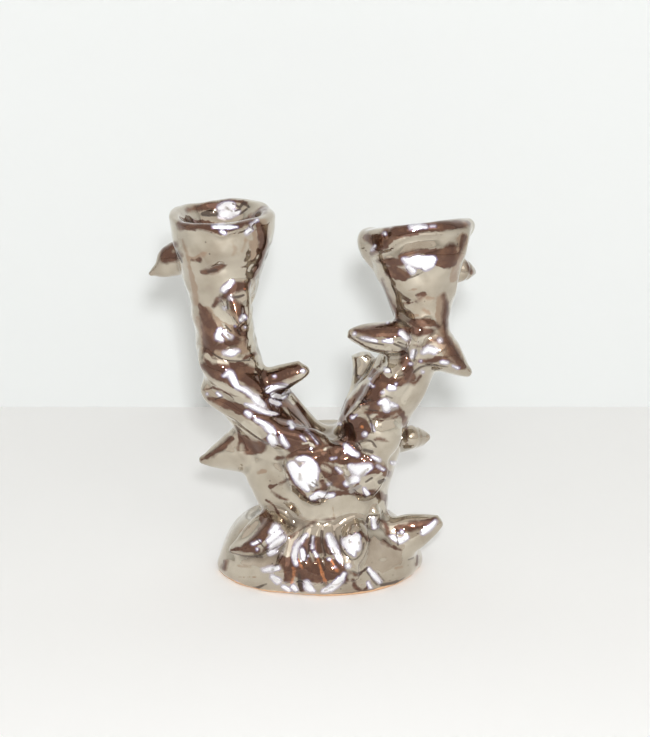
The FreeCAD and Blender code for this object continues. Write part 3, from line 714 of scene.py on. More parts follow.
        ("painted_highlight", [(8.4, 61.3, 0.4)]),
        ("painted_shade", [(18.9, 65.5, 0.3), (20.5, 62.2, 0.3), (21.4, 58, 0.3)]),
        ("brown", [(9.5, 65.1, 0.8), (10.7, 68.9, 1.6), (12.3, 71.8, 1.2)]),
        ("painted_highlight", [(21.4, 47.3, 0.5), (23.8, 46.1, 0.6)]),
        ("painted_highlight", [(29, 44.8, 0.6), (31.7, 44.8, 0.4)]),
        ("brown", [(20.7, 43.5, 0.8), (24.2, 41.8, 0.8), (27.4, 41.4, 0.7)]),
        ("painted_shade", [(24.3, 36.6, 1), (25.9, 37.5, 0.6)]),
        ("brown", [(20.8, 32.3, 1.2), (24, 31, 1.7), (27.5, 29.3, 1.4)]),
        ("brown", [(6.1, 31, 0.6), (10.8, 31.9, 0.8), (14.8, 31.5, 0.7), (18.8, 30.2, 0.7)]),
        ("brown", [(30.3, 68.1, 1.4), (33, 64.7, 1.3), (34.3, 59.6, 0.9), (34.8, 54.6, 0.6)]),
        ("brown", [(18.5, 66.4, 0.8), (23.7, 64.3, 0.8), (28.3, 66, 1.6)]),
        ("brown", [(20.9, 63.9, 0.3), (26, 62.6, 0.4), (31.1, 64.7, 0.5)]),
        ("brown", [(22.2, 54.6, 0.6), (24.5, 55, 0.8), (26.9, 54.1, 0.5)]),
        ("brown", [(-21, 28.9, 0.4), (-17.8, 26.3, 0.4), (-15.8, 22.3, 0.5), (-13.5, 18.9, 0.4)]),
        ("painted_shade", [(-10.3, 18, 0.6)]),
        ("tan", [(-8.3, 21.9, 0.3), (-4.3, 19.7, 0.4), (-0.3, 20.2, 0.3)]),
        ("brown", [(-11.5, 12.7, 0.7), (-8.7, 14.9, 0.5), (-5.1, 17.1, 0.3), (-0.7, 19.7, 0.4),
            (6.1, 20.6, 0.3)]),
        ("tan", [(5.7, 26.3, 0.2), (6.1, 21, 0.2)]),
    ],
    "right branch": [
        # the orange strokes are painted glints
        ("orange_glint", [(17, 60.1, 0.5)]),
        ("orange_glint", [(8.8, 52.9, 0.4)]),
        ("brown", [(21.5, 83.1, 1.6), (22.4, 78.9, 2.3), (21.6, 73.9, 3.1), (18.5, 70.6, 2)]),
        ("brown", [(9.5, 71.4, 1.3), (12.3, 69.7, 2), (10.7, 66.4, 1.2)]),
        ("brown", [(17.7, 76, 1.8), (20.8, 73.9, 2.2), (23.2, 70.2, 1.4)]),
        ("brown", [(20.8, 81.4, 1.4), (23.5, 76.8, 1.9), (19.3, 71.4, 1.3)]),
        ("painted_highlight", [(20, 78.1, 0.4), (21.2, 77.2, 0.4)]),
        ("painted_highlight", [(20, 80.2, 0.3)]),
        ("brown", [(25.5, 79.7, 1.4), (29.7, 78.9, 1.6), (33.6, 78.5, 1.2), (36.7, 80.6, 1.3)]),
        ("painted_highlight", [(27.8, 76.4, 0.8), (29.4, 76.4, 0.7)]),
        ("painted_highlight", [(24, 70.2, 0.5), (25.9, 70.6, 1.3), (26.7, 68.1, 1.6)]),
        ("painted_highlight", [(28.7, 69.3, 1), (30.3, 68.9, 0.5)]),
        ("grey", [(24.4, 68.5, 0.5), (24.8, 67.2, 0.3)]),
        ("grey", [(28.7, 67.2, 0.6), (30.7, 68.1, 0.4)]),
        ("brown", [(22.5, 66.8, 1), (26.4, 65.1, 1.4), (30.3, 66.8, 1)]),
        ("painted_shade", [(17, 70.6, 0.4), (20.1, 71.4, 0.4)]),
        ("painted_shade", [(18.5, 67.6, 0.3), (23.2, 66.8, 0.3)]),
        ("brown", [(32.3, 91.3, 0.7), (33.9, 87.6, 1.2), (35.5, 83.9, 1.6), (34.4, 80.6, 1.2)]),
        ("painted_highlight", [(36.2, 89.2, 0.6), (37, 91.3, 0.6)]),
        ("painted_shade", [(34.2, 92.5, 0.3), (35.1, 88.8, 0.3)]),
        ("painted_shade", [(37.7, 92.1, 0.3), (37, 87.6, 0.3)]),
        ("painted_highlight", [(26.6, 83.9, 1.1)]),
        ("painted_shade", [(25.4, 85.1, 0.2), (27.7, 84.7, 0.2), (28.2, 82.6, 0.2)]),
        ("brown", [(24.6, 88.8, 0.3), (23.8, 85.5, 0.6)]),
        ("brown", [(34.5, 103.6, 0.9), (37.9, 103.2, 1.7), (42.6, 103.2, 1.7), (46.4, 101.5, 0.7)]),
        ("brown", [(36.1, 100.3, 1.5), (39.5, 99.5, 2.1), (43.4, 99.9, 1.5)]),
        ("brown", [(42.3, 96.2, 0.9), (45.4, 96.2, 1.2)]),
        ("brown", [(36.9, 94.2, 0.5), (40.8, 93.4, 0.4), (42.7, 95.8, 0.5)]),
        ("painted_highlight", [(46.9, 96.2, 0.5)]),
        ("tan", [(46.5, 97.9, 0.9), (47.7, 94.2, 1.5), (49.4, 90.5, 1.5)]),
        ("brown", [(49.2, 97, 1.2), (50.9, 93.4, 1.9), (53.3, 89.2, 1.9), (56.1, 85.1, 1.2)]),
        ("brown", [(45.5, 88.8, 0.8), (49.4, 88.4, 1), (53.3, 86.4, 0.6)]),
        ("painted_highlight", [(40.8, 91.3, 0.9), (42.7, 92.5, 1.4), (44.7, 91.7, 1.2)]),
        ("painted_highlight", [(47.9, 87.2, 0.5), (49.8, 86.8, 0.4)]),
        ("painted_highlight", [(52.2, 85.5, 0.3), (54.1, 84.7, 0.3)]),
        ("brown", [(39, 87.6, 0.7), (42.4, 87.6, 1), (46.3, 88.4, 0.7)]),
        ("painted_shade", [(37.1, 83.1, 0.5), (39.8, 85.1, 0.4), (44, 85.9, 0.3), (50.3, 85.1, 0.2)]),
        ("painted_highlight", [(40.6, 83.1, 0.3)]),
        ("brown", [(34.8, 78.1, 0.6), (37.9, 78.9, 0.6), (39.4, 81.4, 0.5)]),
        ("brown", [(13.7, 100.3, 0.5), (17.5, 99.9, 1.7), (22.6, 99.9, 2.5), (27.6, 99.9, 2.9),
            (32.2, 99.5, 1.9)]),
        ("painted_highlight", [(13.7, 98.7, 0.5)]),
        ("painted_highlight", [(16.8, 97, 0.3), (22.2, 95.8, 0.3)]),
        ("painted_highlight", [(25.3, 95.8, 0.5), (28, 95.8, 0.7)]),
        ("painted_highlight", [(32.2, 99.1, 1), (34.2, 97, 1)]),
        ("painted_shade", [(14.5, 97.4, 0.2), (19.1, 95.4, 0.3), (25.3, 94.2, 0.3)]),
        ("painted_shade", [(29.2, 94.6, 0.4), (33.1, 92.9, 0.5)]),
        ("tan", [(19.9, 97.4, 0.4), (16.8, 98.7, 0.4)]),
        ("painted_shade", [(30.7, 95.4, 0.3), (33.8, 94.2, 0.3)]),
    ],
    "right cup": [
        ("brown", [(18.1, 137.2, 1.5), (21.1, 136.4, 2.4), (24.9, 136.4, 2.7), (27.9, 138, 1.9)]),
        ("brown", [(20.4, 131.3, 0.9), (22.3, 132.9, 1.5), (25.7, 134.1, 1.1)]),
        ("brown", [(26.4, 140, 1.9), (31.7, 140.8, 2.4), (36.2, 141.6, 2.5), (41.5, 141.9, 2.3),
            (46.8, 142.3, 2.2), (52.1, 142.7, 1.9), (56.3, 142.7, 1.5)]),
        ("brown", [(28.3, 137.6, 1.5), (32.5, 138.8, 1.5), (37, 139.6, 1.1)]),
        ("tan", [(54.9, 137.2, 1.9), (53.9, 132.5, 1.9), (52.5, 126.9, 1.5), (51.4, 120.5, 1.4)]),
        ("brown", [(55.2, 138, 0.9), (54.2, 133.7, 0.8), (53.2, 129.3, 0.6)]),
        ("painted_highlight", [(35.1, 141.6, 0.5), (37.7, 141.9, 0.9), (40.8, 141.6, 0.6)]),
        ("painted_highlight", [(42.7, 141.9, 0.4), (44.2, 141.9, 0.3)]),
        ("painted_highlight", [(25.3, 138.8, 0.5)]),
        ("painted_highlight", [(20.4, 132.5, 0.2), (21.5, 134.1, 0.2)]),
        ("brown", [(23.1, 128.1, 0.8), (26.9, 127.7, 1.5), (31.1, 127.7, 1.7)]),
        ("brown", [(27.7, 124.1, 2.4), (31.9, 122.5, 2.3), (34.6, 121.7, 1)]),
        ("brown", [(31.1, 129.7, 1), (35.2, 131.3, 1.1), (40.6, 131.7, 1.5), (45.9, 129.7, 3.4),
            (49, 129.3, 4.2), (50.8, 132.9, 2.3)]),
        ("painted_highlight", [(32.6, 128.9, 0.6), (35.3, 127.7, 1.7), (38.7, 127.7, 2.5), (42.1, 128.1, 2.1),
            (44, 128.9, 1.1)]),
        ("painted_highlight", [(34.5, 125.7, 0.9), (36.1, 124.1, 1)]),
        ("painted_highlight", [(40.7, 125.7, 1.5), (43.3, 126.5, 0.9)]),
        ("painted_shade", [(33.8, 120.9, 0.2), (36.9, 122.1, 0.3), (39.9, 123.7, 0.2)]),
        ("brown", [(38.2, 114.5, 0.6), (40.4, 114.9, 0.8), (38.9, 112.9, 0.5)]),
        ("brown", [(32.8, 111.3, 0.5), (35.1, 111.3, 0.7), (37.4, 111.7, 0.3)]),
        ("tan", [(41.2, 113.3, 0.6), (44.3, 113.3, 0.5)]),
        ("tan", [(34.3, 116.1, 0.5), (37.4, 116.9, 0.4)]),
        ("tan", [(40.6, 108.4, 0.7), (42.9, 106.8, 0.5)]),
        ("tan", [(30.5, 112.5, 0.5), (31.7, 109.6, 0.5)]),
        ("tan", [(35.2, 106, 0.6), (38.3, 106.4, 0.5)]),
        ("tan", [(47.4, 113.3, 1.8), (47.1, 109.2, 1.8), (47.2, 105.2, 1.5), (47.2, 101.9, 1.2)]),
        ("brown", [(48.1, 114.1, 0.9), (49, 109.2, 1.3), (48.7, 104, 1.3), (48.8, 98.7, 1.1)]),
        ("brown", [(24.3, 120.5, 0.6), (25.9, 115.7, 0.8), (27.8, 111.3, 1.3), (29.8, 107.2, 1.6),
            (29.8, 103.6, 1.3)]),
        ("brown", [(56.6, 127.7, 0.6), (57.8, 124.5, 1), (59, 123.3, 0.5)]),
    ],
    "pewter": [
        ("pewter", [(-40.7, 78.5, 0.7), (-35.3, 76, 1.1), (-29.5, 73.1, 0.9)]),
        ("pewter", [(-39.2, 77.2, 0.6), (-34.5, 75.2, 0.8)]),
        ("pewter", [(-29.3, 61.3, 1.2), (-26.2, 58.4, 1.8), (-23.8, 56.3, 1)]),
        ("pewter", [(-8.8, 78.9, 0.6), (-6.4, 82.2, 0.6)]),
        ("pewter", [(-11.9, 74.3, 1.2), (-9.6, 70.6, 1.2)]),
        ("pewter", [(-43.6, 89.7, 1), (-40.5, 87.6, 0.9), (-35.1, 86.8, 0.5)]),
        ("pewter", [(-38.6, 107.6, 1.5), (-35.6, 105.2, 1.9), (-32.6, 103.6, 1.2)]),
        ("pewter", [(-25.5, 112.5, 1.2), (-26, 105.2, 1), (-26.5, 94.2, 1.2)]),
        ("pewter", [(-37.1, 110.5, 0.8), (-35.1, 111.3, 0.5)]),
        ("pewter", [(24.1, 59.6, 2), (28.8, 60.9, 2.4), (31.6, 58.4, 1.6)]),
        ("pewter", [(15.5, 52.9, 0.6), (18.6, 53.3, 0.6), (21, 52, 0.6)]),
        ("pewter", [(31, 73.9, 1.2), (34.8, 76.4, 1.6), (33.4, 70.6, 1.2)]),
        ("pewter", [(26.9, 92.1, 1.5), (27.7, 87.2, 2.3), (27, 82.2, 1.6)]),
        ("pewter", [(16.8, 90.9, 3.5), (16.5, 85.5, 3.5), (13.8, 78.9, 3.1), (11.5, 73.9, 2)]),
        ("pewter", [(38.4, 95.8, 1.2), (41.5, 97, 0.9)]),
        ("pewter", [(20.3, 93.8, 0.8), (25.3, 92.1, 1.2)]),
        ("pewter", [(1.7, 43.1, 0.7), (4.5, 41.4, 0.6)]),
        ("pewter", [(6.8, 44.4, 0.5), (9.6, 41.8, 0.5)]),
        ("pewter", [(-6.2, 52.9, 0.5), (-3.8, 53.7, 0.6)]),
        ("pewter", [(-5, 55.4, 0.4), (-2.2, 51.6, 0.4)]),
        ("pewter", [(2.5, 50.8, 0.4), (4.5, 51.6, 0.3)]),
        ("pewter", [(-13.5, 68.1, 0.5), (-11.2, 65.5, 0.4)]),
        ("pewter", [(7.6, 58.8, 0.8), (9.6, 61.3, 0.6)]),
        ("pewter", [(24.7, 40.1, 0.6), (21.9, 37.5, 0.7), (25.9, 33.6, 0.6)]),
        ("pewter", [(-8.3, 6.6, 0.8), (-6.7, 1.3, 0.5)]),
        ("pewter", [(-12.4, 4.8, 1.2), (-15.2, 7.4, 1.2)]),
        ("pewter", [(-3.5, 5.7, 0.4), (-2.3, 2.6, 0.3)]),
        ("pewter", [(0.9, 4.4, 0.3), (2.5, -0.1, 0.3)]),
        ("pewter", [(20.5, 64.3, 0.5), (22.9, 65.5, 0.4)]),
        ("pewter", [(13.5, 66.4, 0.5), (16.6, 67.2, 0.4)]),
        ("pewter", [(-27, 86.8, 0.5), (-22, 84.7, 0.5)]),
        ("pewter", [(-24.3, 83.1, 0.4), (-22, 80.6, 0.3)]),
    ],
    "twig": [
        ("grey", [(15.3, 91.7, 0.3), (14.9, 87.2, 0.3), (12.2, 77.7, 0.3)]),
        ("grey", [(18.4, 91.3, 0.3), (17.6, 85.9, 0.3), (13.8, 74.7, 0.3)]),
        ("grey", [(20.7, 89.7, 0.5), (20.4, 85.5, 0.5)]),
    ],
    "greys over the silver": [
        ("tan", [(-7.4, 41.4, 0.5), (-5.4, 42.6, 0.6), (-3.8, 41.8, 0.4)]),
        ("grey", [(-7.4, 40.1, 0.6), (-7.4, 37.9, 0.4)]),
        ("grey", [(-3.4, 34.9, 0.6), (-2.3, 33.2, 0.6)]),
        ("grey", [(-1.1, 37.5, 0.6), (-0.3, 34.9, 0.6)]),
        ("grey", [(-0.3, 30.6, 0.3), (1.3, 29.3, 0.2)]),
        ("grey", [(11.6, 37.5, 0.8), (12.8, 34.5, 0.6)]),
        ("grey", [(13.2, 32.8, 1), (16.4, 34.9, 0.7)]),
        ("grey", [(10.8, 38.8, 0.6), (12.4, 35.8, 0.6)]),
        ("grey", [(17.1, 39.6, 0.6), (19.1, 42.2, 0.4)]),
        ("grey", [(12.5, 10.5, 0.6), (12.9, 7, 0.4)]),
        ("grey", [(16.1, 10.1, 0.4)]),
        ("grey", [(-34.9, 149, 0.3), (-32.6, 147.8, 0.3)]),
        ("grey", [(-34.9, 98.3, 0.3), (-33.8, 96.2, 0.4)]),
        ("grey", [(-17.9, 57.1, 0.4), (-16, 54.6, 0.5)]),
        ("grey", [(-17, 74.7, 0.4), (-14.3, 76, 0.3)]),
        ("grey", [(34.1, 11.4, 0.4)]),
        ("grey", [(5.3, 7.9, 0.4), (6.5, 4.8, 0.3)]),
        ("grey", [(-18.4, -1.8, 0.3)]),
        ("grey", [(5.3, -9.4, 0.3), (2.5, -10.8, 0.3)]),
    ],
    "fine crumples": [
        ("painted_shade", [(-6.1, 58, 0.3), (-3.8, 55.8, 0.2)]),
        ("painted_highlight", [(-6.9, 56.3, 0.3), (-5, 54.1, 0.2)]),
        ("painted_highlight", [(-3, 50.8, 0.3)]),
        ("painted_highlight", [(4.9, 46.5, 0.3), (6.8, 46.9, 0.3)]),
        ("painted_highlight", [(13.1, 63.9, 0.3), (15, 65.1, 0.3)]),
        ("painted_highlight", [(25.1, 74.7, 0.3)]),
        ("painted_shade", [(26.3, 73.1, 0.3), (28.7, 72.2, 0.3)]),
        ("painted_highlight", [(35.9, 86.4, 0.3)]),
        ("painted_highlight", [(7.2, 42.6, 0.4), (8.8, 40.9, 0.4)]),
        ("painted_highlight", [(4.1, 35.8, 0.3)]),
        ("painted_shade", [(3.3, 37.5, 0.2), (5.7, 34.9, 0.2)]),
        ("painted_highlight", [(23.4, 43.5, 0.3), (25.8, 41.8, 0.3)]),
        ("painted_shade", [(-41.2, 71.4, 0.3), (-37.7, 72.7, 0.3)]),
        ("painted_highlight", [(-39.6, 74.3, 0.3), (-38.1, 73.1, 0.3)]),
        ("painted_highlight", [(-43.5, 73.9, 0.3)]),
        ("painted_shade", [(-5.8, 45.2, 0.2), (-3.4, 45.6, 0.2)]),
        ("painted_shade", [(-2.7, 36.6, 0.3), (-0.3, 34.9, 0.2)]),
        ("painted_shade", [(1.7, 29.3, 0.2), (3.7, 32.3, 0.2)]),
        ("painted_highlight", [(15.7, 81, 0.2)]),
        ("painted_highlight", [(30.1, 78.1, 0.3)]),
        ("painted_shade", [(30.9, 81, 0.3), (33.2, 82.2, 0.3)]),
        ("painted_highlight", [(39.7, 87.6, 0.3)]),
        ("painted_shade", [(26.7, 105.2, 0.2), (27.9, 107.2, 0.2)]),
        ("painted_highlight", [(26.8, 103.6, 0.3)]),
        ("painted_highlight", [(27.9, 106, 0.2)]),
        ("painted_highlight", [(-2.3, 12.7, 0.3), (-2.7, 7.9, 0.3)]),
        ("painted_highlight", [(-4.3, 4.4, 0.3)]),
        ("painted_highlight", [(6.5, -0.5, 0.3)]),
        ("painted_shade", [(-3.1, 13.6, 0.3), (-4.3, 7, 0.3), (-6, -0.1, 0.3)]),
        ("painted_shade", [(6.1, 15.4, 0.2), (7.7, 10.1, 0.2), (9.7, 4.4, 0.2)]),
        ("painted_highlight", [(31.7, 14.5, 0.3)]),
        ("painted_highlight", [(28.5, 13.2, 0.3)]),
        ("painted_shade", [(30.9, 15.8, 0.3), (31.8, 9.2, 0.3)]),
        ("painted_shade", [(-35.1, 112.1, 0.3), (-34.8, 108.8, 0.3)]),
        ("painted_highlight", [(-35.9, 109.2, 0.3)]),
        ("painted_shade", [(-32.9, 105.6, 0.2), (-30.6, 102.3, 0.2)]),
        ("painted_highlight", [(-32.2, 101.9, 0.3)]),
        ("painted_highlight", [(-28, 101.5, 0.3)]),
    ],
    "left cup thorn": [
        ("brown", [(-54.9, 134.4, 1.5), (-58.4, 131.7, 2.1), (-58.8, 128.9, 1.5),
            (-55.8, 129.7, 2.3), (-53.5, 130.1, 1.9)]),
        ("painted_shade", [(-54.2, 132.5, 0.4), (-53.1, 130.1, 0.5), (-52, 127.7, 0.3)]),
    ],
    "foot": [
        ("brown", [(-21.8, 23.2, 1.6), (-20.6, 20.2, 2.2), (-21.9, 15.8, 2.2), (-24.7, 11.4, 2.2),
            (-28.4, 8.3, 1.6)]),
        ("brown", [(-35.6, 6.6, 0.4), (-32.4, 7.4, 1.1), (-28.4, 7.4, 1.6), (-24.8, 6.6, 1.4)]),
        ("painted_highlight", [(-19.1, 14.9, 0.8), (-17.1, 17.1, 1.4)]),
        ("painted_highlight", [(-19.9, 11, 1), (-17.5, 13.2, 1.4), (-15.5, 14.9, 1)]),
        ("painted_highlight", [(-18.8, 8.3, 1.1), (-16.3, 10.5, 1.6), (-14.3, 12.3, 1.1)]),
        ("painted_highlight", [(-19.6, 5.7, 0.8), (-18, 6.6, 1)]),
        ("brown", [(-20.4, 8.8, 0.6), (-22.4, 6.1, 0.6)]),
        ("painted_highlight", [(-26.4, 9.6, 0.5), (-23.9, 11, 0.5)]),
        ("painted_highlight", [(-24.8, 7.4, 0.4)]),
        ("painted_shade", [(-25.1, 12.3, 0.3), (-22.8, 9.2, 0.3), (-20.4, 6.1, 0.3)]),
        ("painted_shade", [(-36, 6.1, 0.2), (-29.6, 4.4, 0.3), (-22.8, 3.9, 0.3)]),
        ("brown", [(-37.3, 2.1, 1), (-38.2, -1, 1)]),
        ("tan", [(-31.1, 15.4, 0.6), (-27.9, 17.5, 0.6)]),
        ("tan", [(-36.7, 12.3, 0.6)]),
        ("tan", [(-32.5, -0.1, 0.4), (-27.7, -0.5, 0.3)]),
        ("tan", [(-31.8, -5, 0.3), (-25.7, -5, 0.3)]),
        ("painted_highlight", [(-33.4, -7.6, 0.6)]),
        ("painted_shade", [(-33, -9, 0.3), (-29.8, -9.9, 0.6), (-25.4, -9.9, 0.7), (-21.3, -8.1, 0.3)]),
        ("painted_highlight", [(-22.1, -1.8, 0.7), (-19.6, -1.4, 1.1), (-16.8, -1, 1)]),
        ("painted_highlight", [(-18.5, -5, 1), (-16.5, -6.7, 1.3)]),
        ("painted_highlight", [(-14.1, -9.4, 0.9), (-12.1, -10.8, 0.7)]),
        ("painted_highlight", [(-10.4, -9.4, 1.1), (-9.2, -10.8, 0.6)]),
        ("brown", [(-14, 2.6, 1.8), (-11.6, -1.8, 2.4), (-12.4, -6.3, 1.8)]),
        # the orange strokes are painted glints
        ("orange_glint", [(-10.4, -1, 0.4), (-10, -5, 0.4), (-11.2, -8.1, 0.4)]),
        ("painted_shade", [(-8, -3.6, 0.6), (-7.6, -8.1, 0.9), (-7.2, -10.8, 0.6)]),
        ("brown", [(-6, -2.7, 2.4), (-2.7, 1.7, 2.4), (-0.3, -4.5, 2.8), (4.5, -1.8, 2.6),
            (7.7, -4.5, 1.4)]),
        ("brown", [(-7.2, -8.1, 1.2), (-6.8, -10.8, 0.8)]),
        ("orange_glint", [(-0.3, 3, 0.4), (1.3, -2.7, 0.5), (2.9, -7.6, 0.4)]),
        ("orange_glint", [(4.9, 2.6, 0.4), (7.3, -2.3, 0.4)]),
        ("orange_glint", [(-8.4, 3, 0.3), (-6.4, -1, 0.3)]),
        ("painted_highlight", [(-5.1, 13.6, 0.6), (-8.3, 9.6, 1), (-9.9, 4.8, 1), (-9.2, 0.8, 0.6)]),
        ("painted_highlight", [(-6.7, 7, 1), (-5.9, 3, 0.8)]),
        ("brown", [(-3.9, 9.2, 1.2), (-1.1, 11, 1.6)]),
        ("painted_shade", [(1.3, 15.4, 0.6), (1.3, 9.6, 0.6), (2.5, 4.8, 0.6)]),
        ("painted_highlight", [(-1.9, 6.1, 0.4), (-0.7, 4.4, 0.4)]),
        ("painted_highlight", [(4.1, 13.2, 1), (5.7, 9.2, 1.4), (7.3, 5.2, 1.2), (8.5, 2.1, 0.7)]),
        ("painted_shade", [(4.9, 5.7, 0.5), (3.7, 7.9, 0.4)]),
        ("painted_highlight", [(4.1, 3, 0.6)]),
        ("painted_highlight", [(-4.8, -7.6, 1), (-4, -9.9, 1.3), (-1.9, -11.2, 0.6)]),
        ("painted_highlight", [(1.7, -11.2, 0.7), (4.5, -10.3, 1.3), (6.9, -8.1, 1.5), (9, -5.9, 1.2),
            (10.2, -3.6, 0.6)]),
        ("painted_highlight", [(10.9, 11, 1.6), (12.9, 7.4, 1.8), (14.1, 4.8, 0.8)]),
        ("painted_highlight", [(14.9, 12.3, 1.8), (15.3, 7.9, 1.4)]),
        ("painted_highlight", [(12.5, 12.3, 1.2)]),
        ("painted_shade", [(8.5, 13.2, 0.3), (8.9, 8.3, 0.3), (10.9, 4.8, 0.3), (13.8, 2.6, 0.3),
            (17, 5.2, 0.3), (18.1, 10.1, 0.3)]),
        ("brown", [(16.9, 14.5, 0.7), (19.7, 11.4, 1)]),
        ("tan", [(12.5, 9.2, 0.6)]),
        ("painted_shade", [(19.3, 19.3, 0.6), (20, 21.9, 0.4), (23.6, 22.3, 0.4)]),
        ("painted_highlight", [(21.6, 20.6, 0.7), (22.5, 17.1, 0.9)]),
        ("brown", [(24.4, 20.6, 0.6), (26.9, 17.5, 1.1), (27.7, 14, 1)]),
        ("brown", [(26.5, 11, 1), (29.4, 8.3, 0.7), (33, 7, 0.3)]),
        ("painted_highlight", [(29.7, 12.7, 0.9), (32.5, 11, 1), (34.9, 12.3, 1)]),
        ("brown", [(31.7, 16.2, 1.6), (36.5, 17.1, 2.2), (41.2, 18.4, 2), (46, 20.2, 1.2)]),
        ("painted_highlight", [(41.7, 14.5, 0.8), (44.5, 17.1, 1), (46.4, 19.3, 0.7)]),
        ("painted_highlight", [(33.3, 14.9, 0.8)]),
        ("painted_highlight", [(11.8, -0.1, 0.8)]),
        ("painted_shade", [(13.4, -2.3, 0.3), (16.6, -3.2, 0.3), (19.4, -1, 0.5)]),
        ("painted_highlight", [(20.2, -1.4, 0.6), (22.2, -4.1, 0.9), (24.7, -7.2, 0.6)]),
        ("painted_shade", [(19.4, -2.7, 0.3), (21.5, -5.9, 0.3), (23.5, -8.5, 0.4)]),
        ("painted_shade", [(23.9, -3.2, 0.2), (26.3, -6.7, 0.2)]),
        ("painted_highlight", [(19.9, -7.6, 0.6), (21.1, -9.9, 0.6)]),
        ("brown", [(13.8, -6.3, 0.6), (14.6, -9.4, 0.8), (17.9, -11.2, 0.6), (19.9, -9, 0.5)]),
        ("painted_shade", [(25.1, -8.5, 0.6), (28.7, -8.1, 0.9), (32, -6.7, 0.4)]),
        ("brown", [(12.6, -2.7, 0.6), (15.4, -4.1, 0.7), (18.2, -1.8, 0.6)]),
        ("painted_shade", [(-23, -11.7, 0.2), (-13.7, -13, 0.3), (-3.6, -13.2, 0.3), (8.6, -12.6, 0.3),
            (18.7, -11.2, 0.3), (28.7, -8.8, 0.3), (34.4, -5.4, 0.2)]),
        ("brown", [(26.8, 27.6, 0.4), (27.6, 22.8, 0.6)]),
        ("brown", [(39.9, 4.4, 0.5), (39.5, 0.4, 0.4)]),
        ("painted_shade", [(35.9, 2.6, 0.2), (37.9, 3.5, 0.3)]),
        ("tan", [(31.1, -1, 0.4), (33.5, -0.5, 0.3)]),
    ],
}
print(f"{sum(len(strokes) for strokes in GLAZE.values())} strokes of glaze")

# %% Work the strokes into the clay
# How far each tone's strokes stand out of the clay, in millimetres. The other tones lie flat.
RELIEF = {"painted_highlight": 0.55, "painted_shade": -0.45, "brown": 0.1}
LEAST_RELIEF = 0.4  # what is left of that on the thinnest stroke


def line_of(spots):
    """A stroke's spots, close together along a smooth curve."""
    if len(spots) == 1:
        return np.array(spots * 2, float)
    return smooth_line(spots)


def emboss(spots, height):
    """Raises the skin under a stroke, or presses it with a height below 0."""
    line = line_of(spots)
    radii = 1.35 * line[:, 2] + 0.3  # a little wider than the stroke, so that its edge is a slope
    balls = np.column_stack([on_skin(line[:, :2]), radii])
    cut = worked_window(balls, 1)
    depth = np.clip(-ball_line(cut, balls) / balls[:, 3].mean(), 0, 1)
    clay[cut] -= np.float32(height) * depth * depth * (3 - 2 * depth)


# Where the clay was torn and pushed together, it is crumpled: x, y, z and how far that reaches.
CRUMPLES = [
    (-6, -18, 50, 15), (14, -18, 52, 14), (14, -13, 66, 14), (22, -12, 82, 12), (30, -12, 98, 10),
    (-16, -14, 76, 12), (-33, -12, 106, 10), (-34, 10, 148, 9), (-25, -7, 128, 11),
    (-24, -6, 112, 11), (-23, -5, 97, 11),
]
CREASE_SPACING, CREASE_DEPTH, CREASE_SEED = 2.4, 0.9, 71
creases = np.abs(swelling(CREASE_SPACING, CREASE_SEED))
for *middle, reach in CRUMPLES:
    cut = window(np.array(middle) - reach, np.array(middle) + reach)
    x, y, z = places(cut)
    away = np.sqrt((x - middle[0]) ** 2 + (y - middle[1]) ** 2 + (z - middle[2]) ** 2) / reach
    clay[cut] += np.float32(CREASE_DEPTH) * creases[cut] * np.clip(1 - away, 0, 1) ** 0.7
del creases

for strokes in GLAZE.values():
    for tone, spots in strokes:
        if tone in RELIEF:
            widest = max(radius for x, z, radius in spots)
            emboss(spots, RELIEF[tone] * min(1, LEAST_RELIEF + widest / 2))
print(f"strokes worked in, after {since()}")


# %% Find the glaze's tone at a point


def picture_plane(points):
    """Where the camera's rays to points cross the plane y = 0, as x and z in millimetres."""
    share = -EYE[1] / (points[:, 1] - EYE[1])
    return EYE[0] + (points[:, 0] - EYE[0]) * share, EYE[2] + (points[:, 2] - EYE[2]) * share


def coverage(points, wanted, soft):
    """How far each point lies within one tone's strokes: 1 inside, 0.5 at an edge, 0 outside."""
    x, z = picture_plane(points)
    best = np.full(len(points), soft, np.float32)
    for strokes in GLAZE.values():
        for tone, spots in strokes:
            if tone != wanted:
                continue
            line = line_of(spots)
            room = line[:, 2].max() + soft
            low, high = line[:, :2].min(axis=0) - room, line[:, :2].max(axis=0) + room
            near = np.flatnonzero((x > low[0]) & (x < high[0]) & (z > low[1]) & (z < high[1]))
            if not len(near):
                continue
            px, pz, least = x[near], z[near], best[near]
            for (ax, az, ar), (bx, bz, br) in zip(line, line[1:]):
                along = (bx - ax, bz - az)
                length2 = max(along[0] ** 2 + along[1] ** 2, 1e-6)
                part = np.clip(((px - ax) * along[0] + (pz - az) * along[1]) / length2, 0, 1)
                away = np.hypot(px - ax - part * along[0], pz - az - part * along[1])
                np.minimum(least, away - ar - part * (br - ar), out=least)
            best[near] = least
    return np.clip(0.5 - best / soft, 0, 1)


def seen(points, normals):
    """1 where the skin faces the camera, 0 where it faces away."""
    towards = EYE - points
    towards /= np.linalg.norm(towards, axis=1, keepdims=True)
    return np.clip(0.4 + 4 * (towards * normals).sum(axis=1), 0, 1)


print("tones can be found")

# %% [markdown]
# ## The candle bores
#
# Both sockets have to take a candle, so after all the shaping a straight round bore is cut again
# on each cup's own axis, with the record's place, direction, radius and depth.

